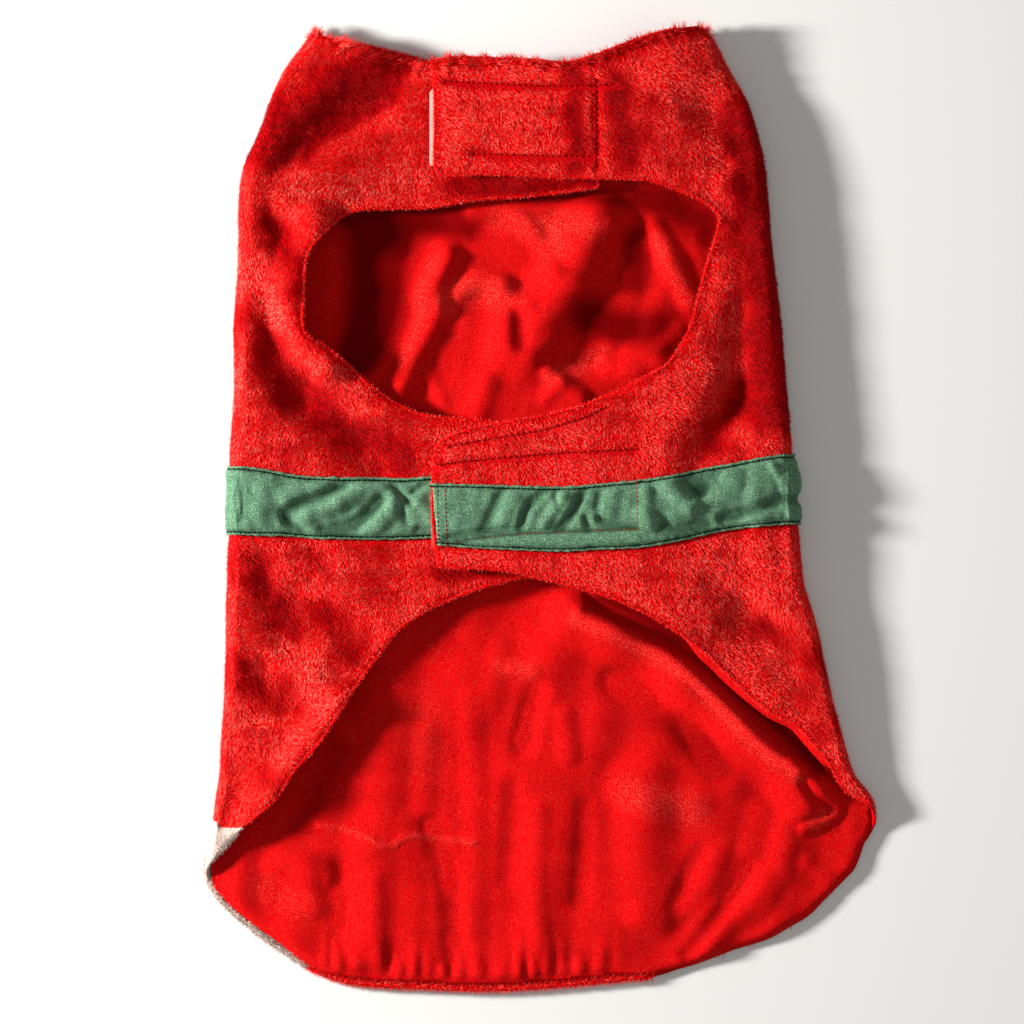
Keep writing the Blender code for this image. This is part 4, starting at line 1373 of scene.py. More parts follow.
    def painted_light(self, side: Side, pattern: Array) -> Array:
        """The painted light on the band: painted shade in grooves and troughs, painted highlights on crests
        and edges.
        """
        flat = np.column_stack([FORM.seen_x(side, pattern), pattern[:, 1]])
        painted_light = self.crease_painted_light * lift_of(self.creases[side], flat)
        for away in self.across(side, pattern):
            painted_light += self.edge_painted_highlight.over(away) + self.groove_painted_shade.over(away - self.topstitch)
        if side is Side.RIGHT:
            x, y = flat.T
            below = self.box_y(x) - y
            painted_light += (self.puff_painted_highlight.over(below) + self.box_painted_shade.over(below)) * between(x, *self.box_span)
        return painted_light

    def box_y(self, x: Array) -> Array:
        """y of the long seam that holds the strap's end."""
        return read_table(curve(self.box, FOLD_STEP), x, 1)

    def relief(self, side: Side, pattern: Array) -> Array:
        """How the band rises over its seat: turned edges, topstitched grooves, ripples and creases."""
        from_top, from_bottom = self.across(side, pattern)
        x = FORM.seen_x(side, pattern)
        room = np.minimum(from_top, from_bottom)
        puff = np.zeros(len(x))
        if side is Side.RIGHT:
            within = between(x, *self.box_span)
            above = pattern[:, 1] - self.box_y(x)
            share = -above / np.maximum(from_bottom - above - self.topstitch, self.least_room)
            opened = above + self.topstitch + self.box_ease * (1 - within)
            room = np.where(above > 0, np.minimum(room, opened), room)
            puff = self.puff_rise * np.clip(1 - (2 * share - 1) ** 2, 0, 1) * within
            puff += self.box_groove.over(above) * within
        free = smoothstep(room, self.topstitch, self.free_from)
        coarse, fine = self.ripples[side]
        creases = self.crease_depth * lift_of(self.creases[side], np.column_stack([x, pattern[:, 1]]))
        rise = free * (self.slack + creases + (coarse.at(pattern) + fine.at(pattern)))
        rise = np.where(puff > 0, np.maximum(rise * (1 - np.clip(puff, 0, 1)), 0) + puff, rise + puff)
        mean, swing = self.pucker
        for edge, away in zip(Edge, (from_top, from_bottom)):
            pucker = mean + swing * self.beat(pattern[:, 0], edge)
            rise += self.turned_edge.over(away) * pucker
            rise += self.groove.over(away - self.topstitch)
            rise += self.inner_roll.over(away) * (2 * mean - pucker)
        return np.maximum(rise, self.lowest)


@dataclass
class Front:
    """One front of the coat: its plush, pile and lining, its stretch of belt and its sewing."""

    side: Side
    name: str
    neck: tuple[Point, ...]
    strap_end: tuple[Point, ...]
    opening: tuple[Point, ...]
    belly_end: tuple[Point, ...]
    tail: tuple[Point, ...]
    neck_crossing: tuple[float, float, float]
    hem_crossing: tuple[float, float, float]
    strip_neck: float
    under_hem: tuple[Point, ...]
    under_seam: tuple[Point, ...]
    cut: Point
    lining_cut: Point
    belt_cut: Point
    parting: tuple[Seam, ...]
    # brushing, which turns the pile, with painted shade where the value is above 0 and painted highlights
    # below 0
    brush_and_shade_patches: tuple[Fold, ...]
    nap: float
    belt: Belt
    shop: Workshop
    covered: ByPoint | None = None
    seam_y: float = -math.inf  # y of the white inset's seam, where the front has one
    peek: tuple[Fold, ...] = ()
    # the plush and its edges
    edge_step: float = 2.4
    step: float = 3.2
    belt_margins: Point = (0.6, -1.2)
    seam_sag: Ridge = Ridge(6.0, 22.0, 3.0)
    seam_from: float = 3.0
    seam_to: float = 36.0
    seam_groove: Ridge = Ridge(0.0, 2.0, -0.5)
    press: float = 0.15  # how far the band presses it down
    press_margin: float = 0.8  # and how far beyond its edges
    unevenness: Drift = Drift(0.18, 12.0, 21)
    cord: Cord = Cord(0.9, 0.6, 0.55, 7.0, 1.3)
    cord_step: float = 1.8
    # the pile: how it drifts and is brushed, and how edges pull it over
    density: float = 6.2
    pile_split: float = 0.0  # y at which it is parted in two pieces
    brush_drift: Drift = Drift(0.25, 9.0, 31)
    nap_drift: Drift = Drift(0.55, 22.0, 32)
    tuft_drift: Drift = Drift(0.5, 7.0, 33)
    brush_turn: float = 0.9  # how far brushed pile turns, in radians
    neck_pull: Ridge = Ridge(0.0, 5.0, 1.6)
    edge_pull: Ridge = Ridge(0.0, 3.5, 0.5)
    edge_reach: float = 4.0
    neck_reach: float = 4.0
    neck_height: float = 2.1
    # at an edge and at the belt: the pile's least height and what it gains further in, and where it is bare
    edge_height: Point = (0.45, 0.55)
    edge_bare: Point = (0.3, 1.0)
    belt_height: Point = (0.55, 0.45)
    belt_bare: Point = (-0.4, 0.6)
    under_thinning: float = 0.35  # the share that is gone under the coat
    # the topstitching, which draws the ground in and parts the pile
    parting_step: float = 2.2
    parting_depth: float = 0.9
    parting_width: float = 2.6
    parting_pull: Ridge = Ridge(0.0, 2.2, 0.5)
    parting_bare: Point = (0.2, 0.8)
    parting_short: float = 0.4  # the share of its height that the pile loses there
    parting_reach: Point = (0.6, 3.0)
    # painted shade in the pile along the topstitching
    parting_shade: float = 0.7
    shade_width: float = 1.3
    thread_rise: float = 0.6
    # the lining and the belt
    lining_corner: float = 12.0  # how far above the hem's corner it ends
    lining_step: float = 5.0
    lining_trim: float = 0.9  # how far inside the plush's edge it ends
    belt_step: float = 1.3
    belt_edge_step: float = 1.5
    belt_end_step: float = 1.4

    def __post_init__(self) -> None:
        """Cut the front's panel."""
        side = self.side
        self.surface = Surface(lambda pattern: FORM.front_point(side, pattern), side is Side.RIGHT)
        self.top_runs = {
            part: FORM.on_top(side, curve(getattr(self, part), self.edge_step))
            for part in ("neck", "strap_end", "opening", "belly_end", "tail")
        }
        seam = FORM.underneath(side, evenly(np.array(self.under_seam, float), self.edge_step))
        strip = np.array([seam[-1], (-TURN - UNDERLAP, self.strip_neck), (-TURN, self.neck_crossing[2])])
        self.hem_turn = self.crossing(self.hem_crossing)
        self.neck_turn = self.crossing(self.neck_crossing)
        self.under_run = FORM.underneath(side, curve(self.under_hem, self.edge_step))
        outline = join(
            *self.top_runs.values(), self.hem_turn, self.under_run, seam, evenly(strip, self.edge_step),
            self.neck_turn[::-1],
        )
        lines = [self.belt.line(side, edge, margin) for edge in Edge for margin in self.belt_margins]
        lines += [run for run, _ in self.partings()]
        if math.isfinite(self.seam_y):
            p = np.arange(-TURN - UNDERLAP + self.seam_from, self.seam_to, self.edge_step)
            lines.append(np.column_stack([p, -self.seam_beyond(np.column_stack([p, np.zeros(len(p))]))]))
        self.panel = Panel(self.surface, outline, self.step, lines)

    def seam_beyond(self, pattern: Array) -> Array:
        """How far points lie above the seam of the white inset."""
        p, y = pattern.T
        return y - self.seam_y + self.seam_sag.over(p)

    def in_red(self, pattern: Array) -> Array:
        """Which points lie in the red plush."""
        return self.seam_beyond(pattern) > 0

    def crossing(self, heights: tuple[float, float, float]) -> Array:
        """An edge as it turns round the side fold, from top to underside."""
        top, middle, under = heights
        t = np.linspace(0, 1, round(TURN / self.edge_step) + 1)
        y = top * (1 - t) * (1 - 2 * t) + middle * 4 * t * (1 - t) + under * t * (2 * t - 1)
        return np.column_stack([-TURN * t, y])

    def partings(self) -> list[tuple[Array, float]]:
        """The runs of topstitching, where the pile parts, each with its strength."""
        return [
            (FORM.on_top(self.side, evenly(np.array(seam.path, float), self.parting_step)), seam.strength)
            for seam in self.parting
        ]

    def cloth_place(self, pattern: Array) -> Array:
        """The place of points of the pattern in the unrolled cloth."""
        p, y = pattern.T
        half = math.pi * (FORM.fold_values(self.side, y)[1] / 2 - PLUSH / 2)
        turned = np.clip(p / TURN, -1, 0) * half
        return np.column_stack([np.maximum(p, 0) + turned + np.minimum(p + TURN, 0), y])

    def ground_out(self, pattern: Array) -> Array:
        """How far the plush's ground stands out: less under the band and along the topstitching."""
        pressed = self.belt.covers(self.side, pattern, self.press_margin)
        out = np.where(pressed, BACKING - self.press, BACKING)
        for run, strength in self.partings():
            out -= self.parting_depth * strength * hump(distance(pattern, run), self.parting_width)
        out += self.seam_groove.over(self.seam_beyond(pattern))
        return out + self.unevenness.at(pattern)

    def edge_distance(self, pattern: Array) -> tuple[Array, Array]:
        """How far points lie from the free edges, and the angle in the pattern that leads out to them."""
        least = np.full(len(pattern), np.inf)
        angle = np.zeros(len(pattern))
        for run in [*self.top_runs.values(), self.hem_turn, self.under_run, self.neck_turn]:
            step, length = nearest(pattern, run)
            closer = length < least
            least = np.where(closer, length, least)
            angle = np.where(closer, np.arctan2(step[:, 1], step[:, 0]), angle)
        return least, angle

    def pile_fields(self, pattern: Array) -> dict[str, Array]:
        """What the pile reads at each point of the pattern: cover, way of lying, height, and brushing with
        painted shade.
        """
        seen = np.column_stack([FORM.seen_x(self.side, pattern), pattern[:, 1]])
        # brushing at random, and patches of painted shade above 0 and painted highlights below 0
        brush_and_shade = np.clip(lift_of(self.brush_and_shade_patches, seen) + self.brush_drift.at(pattern), -1, 1)
        angle = self.nap + self.nap_drift.at(pattern) + self.tuft_drift.at(pattern)
        angle += self.brush_turn * np.maximum(brush_and_shade, 0)
        edge, out_angle = self.edge_distance(pattern)
        neck = np.minimum(distance(pattern, self.top_runs["neck"]), distance(pattern, self.neck_turn))
        way = np.column_stack([np.cos(angle), np.sin(angle)])
        if self.side is Side.RIGHT:
            way[:, 0] *= -1
        pull = self.neck_pull.over(neck) + self.edge_pull.over(edge)
        way = way + pull[:, None] * np.column_stack([np.cos(out_angle), np.sin(out_angle)])
        cover = np.ones(len(pattern))
        height = np.ones(len(pattern))
        for run, strength in self.partings():
            gaps = distance(pattern, run)
            away = unit(-nearest(pattern, run)[0], NO_WAY)
            way = way + (strength * self.parting_pull.over(gaps))[:, None] * away
            cover *= 1 - strength * (1 - smoothstep(gaps, *self.parting_bare))
            height *= 1 - strength * self.parting_short * (1 - smoothstep(gaps, *self.parting_reach))
            # painted shade along the seam
            brush_and_shade = np.maximum(brush_and_shade, self.parting_shade * strength * hump(gaps, self.shade_width))
        least, gain = self.edge_height
        height *= least + gain * smoothstep(edge, 0.0, self.edge_reach)
        cover *= np.maximum(smoothstep(edge, *self.edge_bare), smoothstep(self.neck_reach - neck, 0.0, 1.0))
        height = np.where(neck < self.neck_reach, np.maximum(height, self.neck_height), height)
        outside = np.maximum(-np.minimum(*self.belt.across(self.side, pattern)), self.end_gap(pattern))
        cover *= smoothstep(outside, *self.belt_bare)
        least, gain = self.belt_height
        height *= least + gain * smoothstep(outside, 0.0, self.edge_reach)
        if self.covered is not None:
            cover = np.where(self.covered(seen) & (pattern[:, 0] > 0), 0.0, cover)
        cover *= 1 - self.under_thinning * smoothstep(-pattern[:, 0], TURN * 0.5, TURN)
        return {
            "cover": cover,
            "height": height,
            "brush_and_shade": brush_and_shade,
            "nap": self.surface.toward(pattern, np.arctan2(way[:, 1], way[:, 0])),
        }

    def end_gap(self, pattern: Array) -> Array:
        """How far points lie beyond the end of the belt."""
        return -self.side.value * (FORM.seen_x(self.side, pattern) - self.belt.end[self.side])

    def grow_pile(self, name: str, keep: ByPoint, material: Material, slot: str, density: float,
                  length: float = 2.2) -> Piece:
        """Grow the pile of a part of the front.

        Args:
            name: The pile's name.
            keep: Which points of the pattern it grows on.
            material: The fibres' finish.
            slot: Not used.
            density: How many fibres stand on a square millimetre.
            length: A fibre's length.

        Returns:
            The pile.
        """
        base = self.panel.piece("ground", lambda at: self.ground_out(at) - ROOT, keep=keep)
        for key, values in self.pile_fields(uv_points(base)).items():
            set_attribute(base.data, key, values)
        return show(self.shop.grow(name, base, density, length, material))

    def build_plush(self) -> Piece:
        """The front's plush with its pile and its topstitching."""
        finishes = self.shop.finishes
        name = f"{self.name}_front"
        shell = self.panel.piece(f"{name}_plush", self.ground_out, keep=self.in_red)
        solidify(shell, GROUND_WALL, outward=False)
        show(shell, finishes.red_ground, [f"{name}_shell"])
        grown = [
            self.grow_pile(f"{name}_pile_upper", lambda at: at[:, 1] > self.pile_split,
                           finishes.red_pile, "red_plush", self.density),
            self.grow_pile(f"{name}_pile_lower", lambda at: (at[:, 1] <= self.pile_split) & self.in_red(at),
                           finishes.red_pile, "red_plush", self.density),
        ]
        runs = [run for run, _ in self.partings()]
        if runs:
            thread = self.shop.sew(f"{name}_topstitch", self.surface, runs, self.thread_out,
                                   finishes.dark_thread, length=2.7, thickness=0.8)
            grown.append(show(thread))
        return shell

    def thread_out(self, pattern: Array) -> Array:
        """How far out the plush's topstitching lies."""
        return self.ground_out(pattern) + self.thread_rise

    def build_lining(self) -> Piece:
        """The front's lining, inside the plush, up to the side fold."""
        corner = self.hem_crossing[0] + self.lining_corner
        panel = Panel(self.surface, self.panel.outline, self.lining_step)
        piece = panel.piece(f"{self.name}_front_lining_satin", self.lining_out,
                            trim=lambda at: self.lining_trim - self.peeks(at),
                            keep=lambda at: (at[:, 0] > -TURN / 2) & (at[:, 1] > corner),
                            cloth_place=self.cloth_place)
        solidify(piece, LINING_WALL)
        show(piece, self.shop.finishes.red_satin, [f"{self.name}_front_lining"])
        return piece

    def peeks(self, pattern: Array) -> Array:
        """How far the lining comes out beyond the plush's edge."""
        return lift_of(self.peek, np.column_stack([FORM.seen_x(self.side, pattern), pattern[:, 1]]))

    def lining_out(self, pattern: Array) -> Array:
        """How far the lining lies out of the plush's inner face. Where it peeks out it hangs lower."""
        return -LINING_GAP - LINING_WALL - 0.5 * np.maximum(self.peeks(pattern) - 1, 0)

    def build_belt(self) -> None:
        """The stretch of belt on this front, with its topstitching."""
        side, belt, finishes, step = self.side, self.belt, self.shop.finishes, self.belt_step
        name = f"belt_{self.name}"
        upper, lower = (belt.line(side, edge, 0.0, self.belt_edge_step) for edge in Edge)
        outline = join(upper, evenly(np.array([upper[-1], lower[-1]]), self.belt_end_step), lower[::-1],
                       evenly(np.array([lower[0], upper[0]]), self.belt_end_step))
        lines = [belt.line(side, edge, belt.topstitch, step) for edge in Edge]
        if side is Side.RIGHT:
            lines.append(FORM.on_top(side, curve(belt.box[1:-1], step)))
        panel = Panel(self.surface, outline, step, lines)
        piece = panel.piece(f"{name}_satin", lambda at: BAND_SEAT + belt.relief(side, at),
                            cloth_place=self.cloth_place, painted_light=lambda at: belt.painted_light(side, at))
        solidify(piece, BAND_WALL)
        show(piece, finishes.green_satin, [name])
        runs = [belt.line(side, edge, belt.topstitch) for edge in Edge]
        sewn = [self.shop.sew(f"{name}_topstitch", self.surface, runs,
                              lambda at: belt.seat(side, at) + belt.stitch_rise,
                              finishes.green_thread, pitch=2.5, length=3.3, thickness=1.0)]
        if side is Side.RIGHT:
            runs = [FORM.on_top(side, np.array(line, float)) for line in belt.box_sides]
            runs.append(FORM.on_top(side, curve(belt.box, 2.0)))
            sewn.append(self.shop.sew(f"{name}_box_stitch", self.surface, runs,
                                      lambda at: belt.seat(side, at) + belt.box_stitch_rise,
                                      finishes.brown_thread, pitch=2.1, length=2.0, thickness=0.55))
        for thread in sewn:
            show(thread)

    def build_edge(self) -> None:
        """The turned and sewn edge that runs round the front's free edges."""
        run = np.vstack(list(self.top_runs.values()))
        gaps = np.hypot(*np.diff(run, axis=0).T)
        run = evenly(run[np.concatenate([[True], gaps > TOUCH])], self.cord_step)
        red, finishes = self.in_red(run), self.shop.finishes
        self.shop.furry_cord(f"{self.name}_front_edge", self.surface, run[red], self.cord, "red_plush",
                             finishes.red_edge, finishes.red_pile)
        if not red.all():
            self.shop.furry_cord("corner_inset_edge", self.surface, run[~red], self.cord, "white_plush",
                                 finishes.white_ground, finishes.white_pile)

    def build(self) -> None:
        """Build the whole front."""
        self.build_plush()
        self.build_lining()
        self.build_belt()
        self.build_edge()


@dataclass
class Inset:
    """The white plush inset, sewn into the lower left corner and wrapped round the fold to the hem."""

    front: Front
    shop: Workshop
    cut: Point = (62.0, 82.0)
    fuller: float = 0.7  # how far this plush stands over the red one
    density: float = 8.0
    length: float = 3.0  # of its fibres
    rim: Cord = Cord(0.0, 1.3, 1.3, 7.0, 2.0)
    hem: tuple[Point, ...] = (
        (-167.5, -174), (-167.3, -182), (-165, -189.5), (-159.6, -197.4), (-152.7, -204), (-145.1, -210.2),
        (-137.6, -216.2), (-127.6, -223), (-120.1, -228), (-114, -231.1),
    )

    def holds(self, pattern: Array) -> Array:
        """Which points of the front's pattern lie in the inset."""
        return ~self.front.in_red(pattern)

    def build(self) -> None:
        """Build the inset with its pile and its rim."""
        front, finishes = self.front, self.shop.finishes
        shell = front.panel.piece("corner_inset_plush", lambda at: front.ground_out(at) + self.fuller,
                                  keep=self.holds)
        solidify(shell, GROUND_WALL, outward=False)
        show(shell, finishes.white_ground, ["corner_inset"])
        pile = front.grow_pile("corner_inset_pile", self.holds, finishes.white_pile, "white_plush",
                               self.density, self.length)
        self.shop.furry_cord("corner_inset_rim", level(RIM_HEIGHT), curve(self.hem, RIM_STEP), self.rim,
                             "white_plush", finishes.white_ground, finishes.white_pile)


@dataclass(frozen=True)
class Gathers:
    """The gathers that draw the lining in along the hem, no two of them alike."""

    start: float = -112.0
    end: float = 34.0
    fade_in: float = 8.0
    fade_out: float = 12.0
    pitch: float = 8.6
    rise: float = 1.3
    full_to: float = 8.0  # above the hem
    reach: float = 24.0
    reach_swing: float = 9.0

    def lift(self, x: Array, above: Array) -> Array:
        """How far they lift the lining, by x and by how far a point lies above the hem."""
        beat = (x - self.start) / self.pitch + 0.25 * np.sin(x * 0.11)
        wave = 0.5 - 0.5 * np.cos(math.tau * beat)
        uneven = 0.7 + 0.3 * np.sin(1.7 * beat)
        reach = 1 - smoothstep(above, self.full_to, self.reach + self.reach_swing * np.sin(2.3 * beat))
        span = between(x, self.start, self.start + self.fade_in, self.end, self.end + self.fade_out)
        return self.rise * wave * uneven * reach * span


@dataclass
class Back:
    """The back of the coat: plush on the surface, the satin lining that shows, and the belt across it."""

    shop: Workshop
    belt: Belt
    neck: tuple[Point, ...] = (
        (-96, 232), (-85, 230), (-75, 227.5), (-65, 225), (-52, 221.5), (-25, 217), (0, 215), (30, 218),
        (50, 225), (66, 233),
    )
    hem: tuple[Point, ...] = (
        (-110.5, -233), (-98, -237), (-80, -239), (-55, -240), (-25, -241), (10, -239), (40, -236),
        (57, -235), (75, -229), (97, -221), (113, -216), (124, -210), (134, -204), (142, -196), (149, -189),
        (154, -184),
    )
    inset_seam: tuple[Point, Point] = ((-110.5, -233), (-150.1, -157))
    lining_hem: tuple[Point, ...] = (
        (-164.3, -190), (-155, -199.8), (-142.7, -209.8), (-130.5, -218.4), (-121.5, -226), (-111, -232),
        (-98, -234.7), (-80, -236.6), (-55, -237.6), (-25, -238.5), (10, -236.6), (40, -233.7), (57, -233.2),
        (75, -229.4), (97, -221.4), (113, -216.4), (124, -210.4), (134, -204.4), (142, -196.4), (149, -189.4),
        (154, -184.3), (157, -181), (159.5, -175), (161.5, -169),
    )
    folds: tuple[Fold, ...] = fold_table(
        (12, 3.4, (-47, 125), (-54, 108), (-54, 93), (-61, 79), (-70, 58)),
        (13, 2.0, (-19, 108), (-22, 80), (-31, 48)),
        (14, 2.6, (-36, 148), (-14, 144), (8, 142)),
        (22, 7.4, (-8, 80), (2, 98), (15, 116), (28, 142)),
        (20, -3.2, (24, 76), (40, 100), (46, 128)),
        (9, 2.4, (56, 140), (66, 122), (75, 104)),
        (13, 2.4, (10, 64), (34, 68), (58, 72)),
        (17, 6.0, (16, -55), (46, -70), (73, -87), (95, -107), (115, -127), (134, -146)),
        (20, 2.0, (-78, -96), (-82, -150), (-84, -214)),
        (18, 2.0, (8, -76), (4, -140), (0, -216)),
        (20, 2.6, (50, -136), (56, -200)),
        (15, 1.8, (108, -192), (84, -216)),
        (16, 1.4, (-128, -176), (-92, -170)),
    )
    fine_folds: tuple[Fold, ...] = fold_table(
        (8, 1.4, (-47, 126), (-55, 108), (-55, 93), (-62, 79), (-70, 60)),
        (5.5, -0.8, (-41, 120), (-45, 106)),
        (8, 1.2, (-18, 110), (-22, 78), (-30, 50)),
        (8, 2.0, (-49, 100), (-38, 110), (-22, 112), (-8, 102)),
        (7, 1.5, (-34, 146), (-16, 148), (-4, 138), (6, 118)),
        (7, 1.0, (6, 118), (20, 112), (30, 110)),
        (4.5, 0.9, (36, 143), (32, 120)),
        (9, 1.3, (-4, 76), (14, 84), (30, 78), (46, 68)),
        (6, 1.0, (29, 82), (33, 70)),
        (6, 1.6, (4, 68), (20, 56)),
        (6, 1.5, (44, 80), (58, 80), (69, 88)),
        (6, -1.2, (-10, 96), (-11, 82)),
        (5, 1.0, (10, 62), (2, 54)),
        (6, 0.8, (-56, 66), (-50, 54)),
        (9, 0.7, (-20, 96), (-14, 70), (-20, 50)),
        (9, 0.8, (-106, 112), (-104, 70)),
        (5.5, 3.3, (19, -53), (46, -65), (72, -80), (92, -99), (110.5, -117), (129, -131)),
        (10, -7.0, (30, -44), (60, -59), (86, -76), (105, -95), (122, -112), (138, -127)),
        (12, -2.0, (36, -88), (56, -96), (76, -112), (90, -132)),
        (9, -1.6, (-2, -92), (-9, -119)),
        (8, 1.2, (12, -104), (14, -124)),
        (14, 1.7, (40, -140), (57, -147), (76, -148)),
        (9, 1.2, (50, -204), (60, -208)),
        (6, 0.9, (-14, -81), (-4, -82)),
        (7, 1.1, (134, -178), (142, -184)),
        (6.5, -1.4, (104, -182), (90, -203), (74, -224)),
        (7, 0.7, (112, -184), (98, -206), (86, -220)),
        (7, -1.1, (80, -172), (73, -186), (67, -199)),
        (7, 0.6, (92, -170), (84, -190)),
        (8, 0.7, (110, -150), (104, -172)),
        (9, 0.9, (124, -160), (118, -186), (104, -204)),
        (9, 0.8, (-66, -158), (-64.5, -190), (-66, -230)),
        (9, 0.9, (-35, -96), (-33, -150), (-34, -232)),
        (9, -1.2, (-54, -160), (-46, -190), (-43, -226)),
        (9, 0.8, (-57, -110), (-59, -150)),
        (9, 0.8, (-20, -70), (-26, -100)),
        (8, 0.9, (-1, -150), (-3, -190), (2, -230)),
        (8, -0.9, (-14, -140), (-17, -186)),
        (8, -0.9, (22, -150), (20, -196)),
        (8, 0.8, (-84, -186), (-82, -224)),
        (8, -0.8, (-100, -180), (-98, -212)),
        (9, 1.0, (-112, -140), (-100, -116), (-84, -96)),
        (8, 0.8, (-120, -176), (-112, -200)),
        (8, 0.9, (-134, -180), (-120, -176), (-106, -184)),
        (1.9, 0.85, (-111.5, -159), (-94.5, -162), (-76, -169.5), (-65, -164.5), (-33.5, -168)),
        (4.6, 2.2, (126, -125), (133, -132), (141, -140.5), (147, -147), (148.5, -152), (144.5, -156),
              (137.5, -159.5), (132, -161)),
        (3.8, -1.8, (131, -138), (137, -146), (143, -151.5)),
        (3.0, -0.6, (133, -156), (140, -155.5)),
    )
    # light and shade painted on the satin: painted highlights where the value is above 0, painted shade and
    # painted shadow where it is below 0
    painted_light_patches: tuple[Fold, ...] = fold_table(
        (12, 1.0, (-47, 103), (-33, 110), (-16, 104)),
        (11, 0.8, (-20, 144), (-6, 141), (8, 130)),
        (11, 0.9, (6, 143), (26, 139)),
        (6, 0.5, (-53, 122), (-60, 106), (-61, 92), (-69, 72)),
        (7, 0.8, (4, 65), (20, 71), (31, 79)),
        (8, 0.8, (57, 134), (66, 120), (74, 106)),
        (13, 0.9, (44, -143), (60, -148), (76, -152)),
        (8, 0.7, (-20, -80), (-6, -82)),
        (16, 0.3, (-60, -100), (-58, -130)),
        (6.5, 1.0, (17, -56), (44, -68), (70, -83), (90, -102), (108, -120), (127, -134)),
        (6, 0.8, (137, -159), (144, -153)),
        (12, 0.4, (-140, -190), (-120, -200)),
        (2.5, 0.9, (-111.5, -159), (-94.5, -162), (-76, -169.5), (-65, -164.5), (-33.5, -168)),
        (16, -1.0, (-90, 142), (-89, 110), (-93, 78)),
        (9, -0.8, (-100, 147), (-60, 147), (-42, 147)),
        (14, -1.3, (-77, 140), (-76, 118), (-80, 94), (-90, 76)),
        (10, -1.0, (-64, 141), (-48, 141), (-36, 139)),
        (7, -0.8, (-8, 155), (30, 155), (64, 154)),
        (8, -0.35, (-46, 84), (-50, 66)),
        (17, -1.1, (24, 96), (40, 90), (58, 91)),
        (12, -0.9, (48, 134), (49, 112)),
        (16, -1.0, (58, 154), (84, 142)),
        (11, -0.9, (-84, 140), (-70, 132)),
        (7, -0.7, (82, 134), (85, 112)),
        (6, -0.8, (-13, 98), (-11, 80)),
        (8, -1.0, (30, -44), (60, -59), (86, -76), (105, -95), (122, -112), (140, -130)),
        (10, -0.5, (-100, -122), (-112, -146), (-124, -172)),
        (14, -0.4, (56, -108), (84, -122), (104, -140)),
    )
    # the lining
    step: float = 1.9
    sharp_width: float = 4.0  # folds narrower than this one guide the triangles
    fold_floor: float = 0.9
    gathers: Gathers = Gathers()
    sag: Drift = Drift(0.8, 26.0, 41)
    ripple: Drift = Drift(0.22, 10.0, 42)
    lining_turn: float = 20.0
    lining_angle: float = math.radians(50)
    hem_ease: float = 5.0
    hem_drop: Ridge = Ridge(0.0, 2.4, 1.6)
    drop_from: Point = (50.0, 64.0)
    neck_inset: float = 2.0  # how far inside the plush's neck it ends
    # the plush and its pile
    under_step: float = 5.0
    edge_step: float = 2.4
    side_step: float = 2.5
    seam_step: float = 3.0
    belt_margins: Point = (0.5, -1.0)
    belt_bare: Point = (-0.4, 0.6)
    hem_bare: Point = (5.0, 9.0)
    nap: float = -math.pi / 2
    nap_drift: Drift = Drift(0.4, 30.0, 51)
    tuft_drift: Drift = Drift(0.3, 9.0, 52)
    brush_drift: Drift = Drift(0.5, 14.0, 53)
    # the belt
    belt_level: float = 5.0  # y at which its ends are read
    belt_reach: Point = (-150.0, 122.0)
    belt_step: float = 2.4
    belt_topstitch: float = 2.4
    belt_seat: float = 1.75
    belt_edge: Ridge = Ridge(1.1, 1.4, 0.3)
    belt_drift: Drift = Drift(0.1, 10.0, 61)
    # the rims
    rim_start: Point = (-119, -229.2)
    rim_end: float = 62.0  # x beyond which the hem has none
    hem_cord: Cord = Cord(0.0, 1.5, 1.5, 6.0, 2.0)
    neck_cord: Cord = Cord(0.0, 1.3, 1.3, 6.0, 2.0)
    hem_middle: Point = (0.0, -60.0)  # the overcast stitches lie this way from the hem
    overcast_inset: float = 2.0

    def __post_init__(self) -> None:
        """Set out the back's two surfaces."""
        self.under = level(PLUSH, turned=True)
        self.lining = Surface(self.lining_point)

    def lining_point(self, pattern: Array) -> Array:
        """The lower face of the lining. Beyond each side fold's start it turns up inside the fold."""
        x, y = pattern.T
        placed_x, placed_z = x.copy(), np.full(len(x), PLUSH + LINING_REST)
        inner = np.full(len(x), np.inf)
        for side in Side:
            top_x = FORM.fold_top(side, y)
            beyond = side.value * (x - top_x)
            inner = np.minimum(inner, -beyond)
            middle = FORM.fold_values(side, y)[1] / 2
            radius = middle - PLUSH - LINING_REST
            angle = self.lining_angle * np.clip(beyond, 0, None) / self.lining_turn
            turned = beyond > 0
            placed_x = np.where(turned, top_x + side.value * radius * np.sin(angle), placed_x)
            placed_z = np.where(turned, middle - radius * np.cos(angle), placed_z)
        lift = lift_of(self.folds, pattern) + lift_of(self.fine_folds, pattern)
        lift = lift + self.gathers.lift(x, y - read_table(self.hem, x, 1))
        lift += self.sag.at(pattern) + self.ripple.at(pattern)
        lift = np.maximum(lift + self.fold_floor, 0.0) * smoothstep(inner, 0, FORM.fold_fade)
        hem = distance(pattern, self.hem_run())
        drop = self.hem_drop.over(hem) * smoothstep(x, *self.drop_from)
        return np.column_stack([placed_x, y, placed_z + lift * smoothstep(hem, 0.0, self.hem_ease) - drop])

    @staticmethod
    def shows(pattern: Array) -> Array:
        """Where the lining shows, with a margin: in the opening, and in the tail below the straps."""
        x, y = pattern.T
        opening = (x > -124) & (x < 95) & (y > 32) & (y < 162)
        return opening | (y < -30 - 0.7 * np.maximum(np.abs(x) - 20, 0))

    def hem_run(self) -> Array:
        """The lining's hem."""
        return curve(self.lining_hem, 2.4)

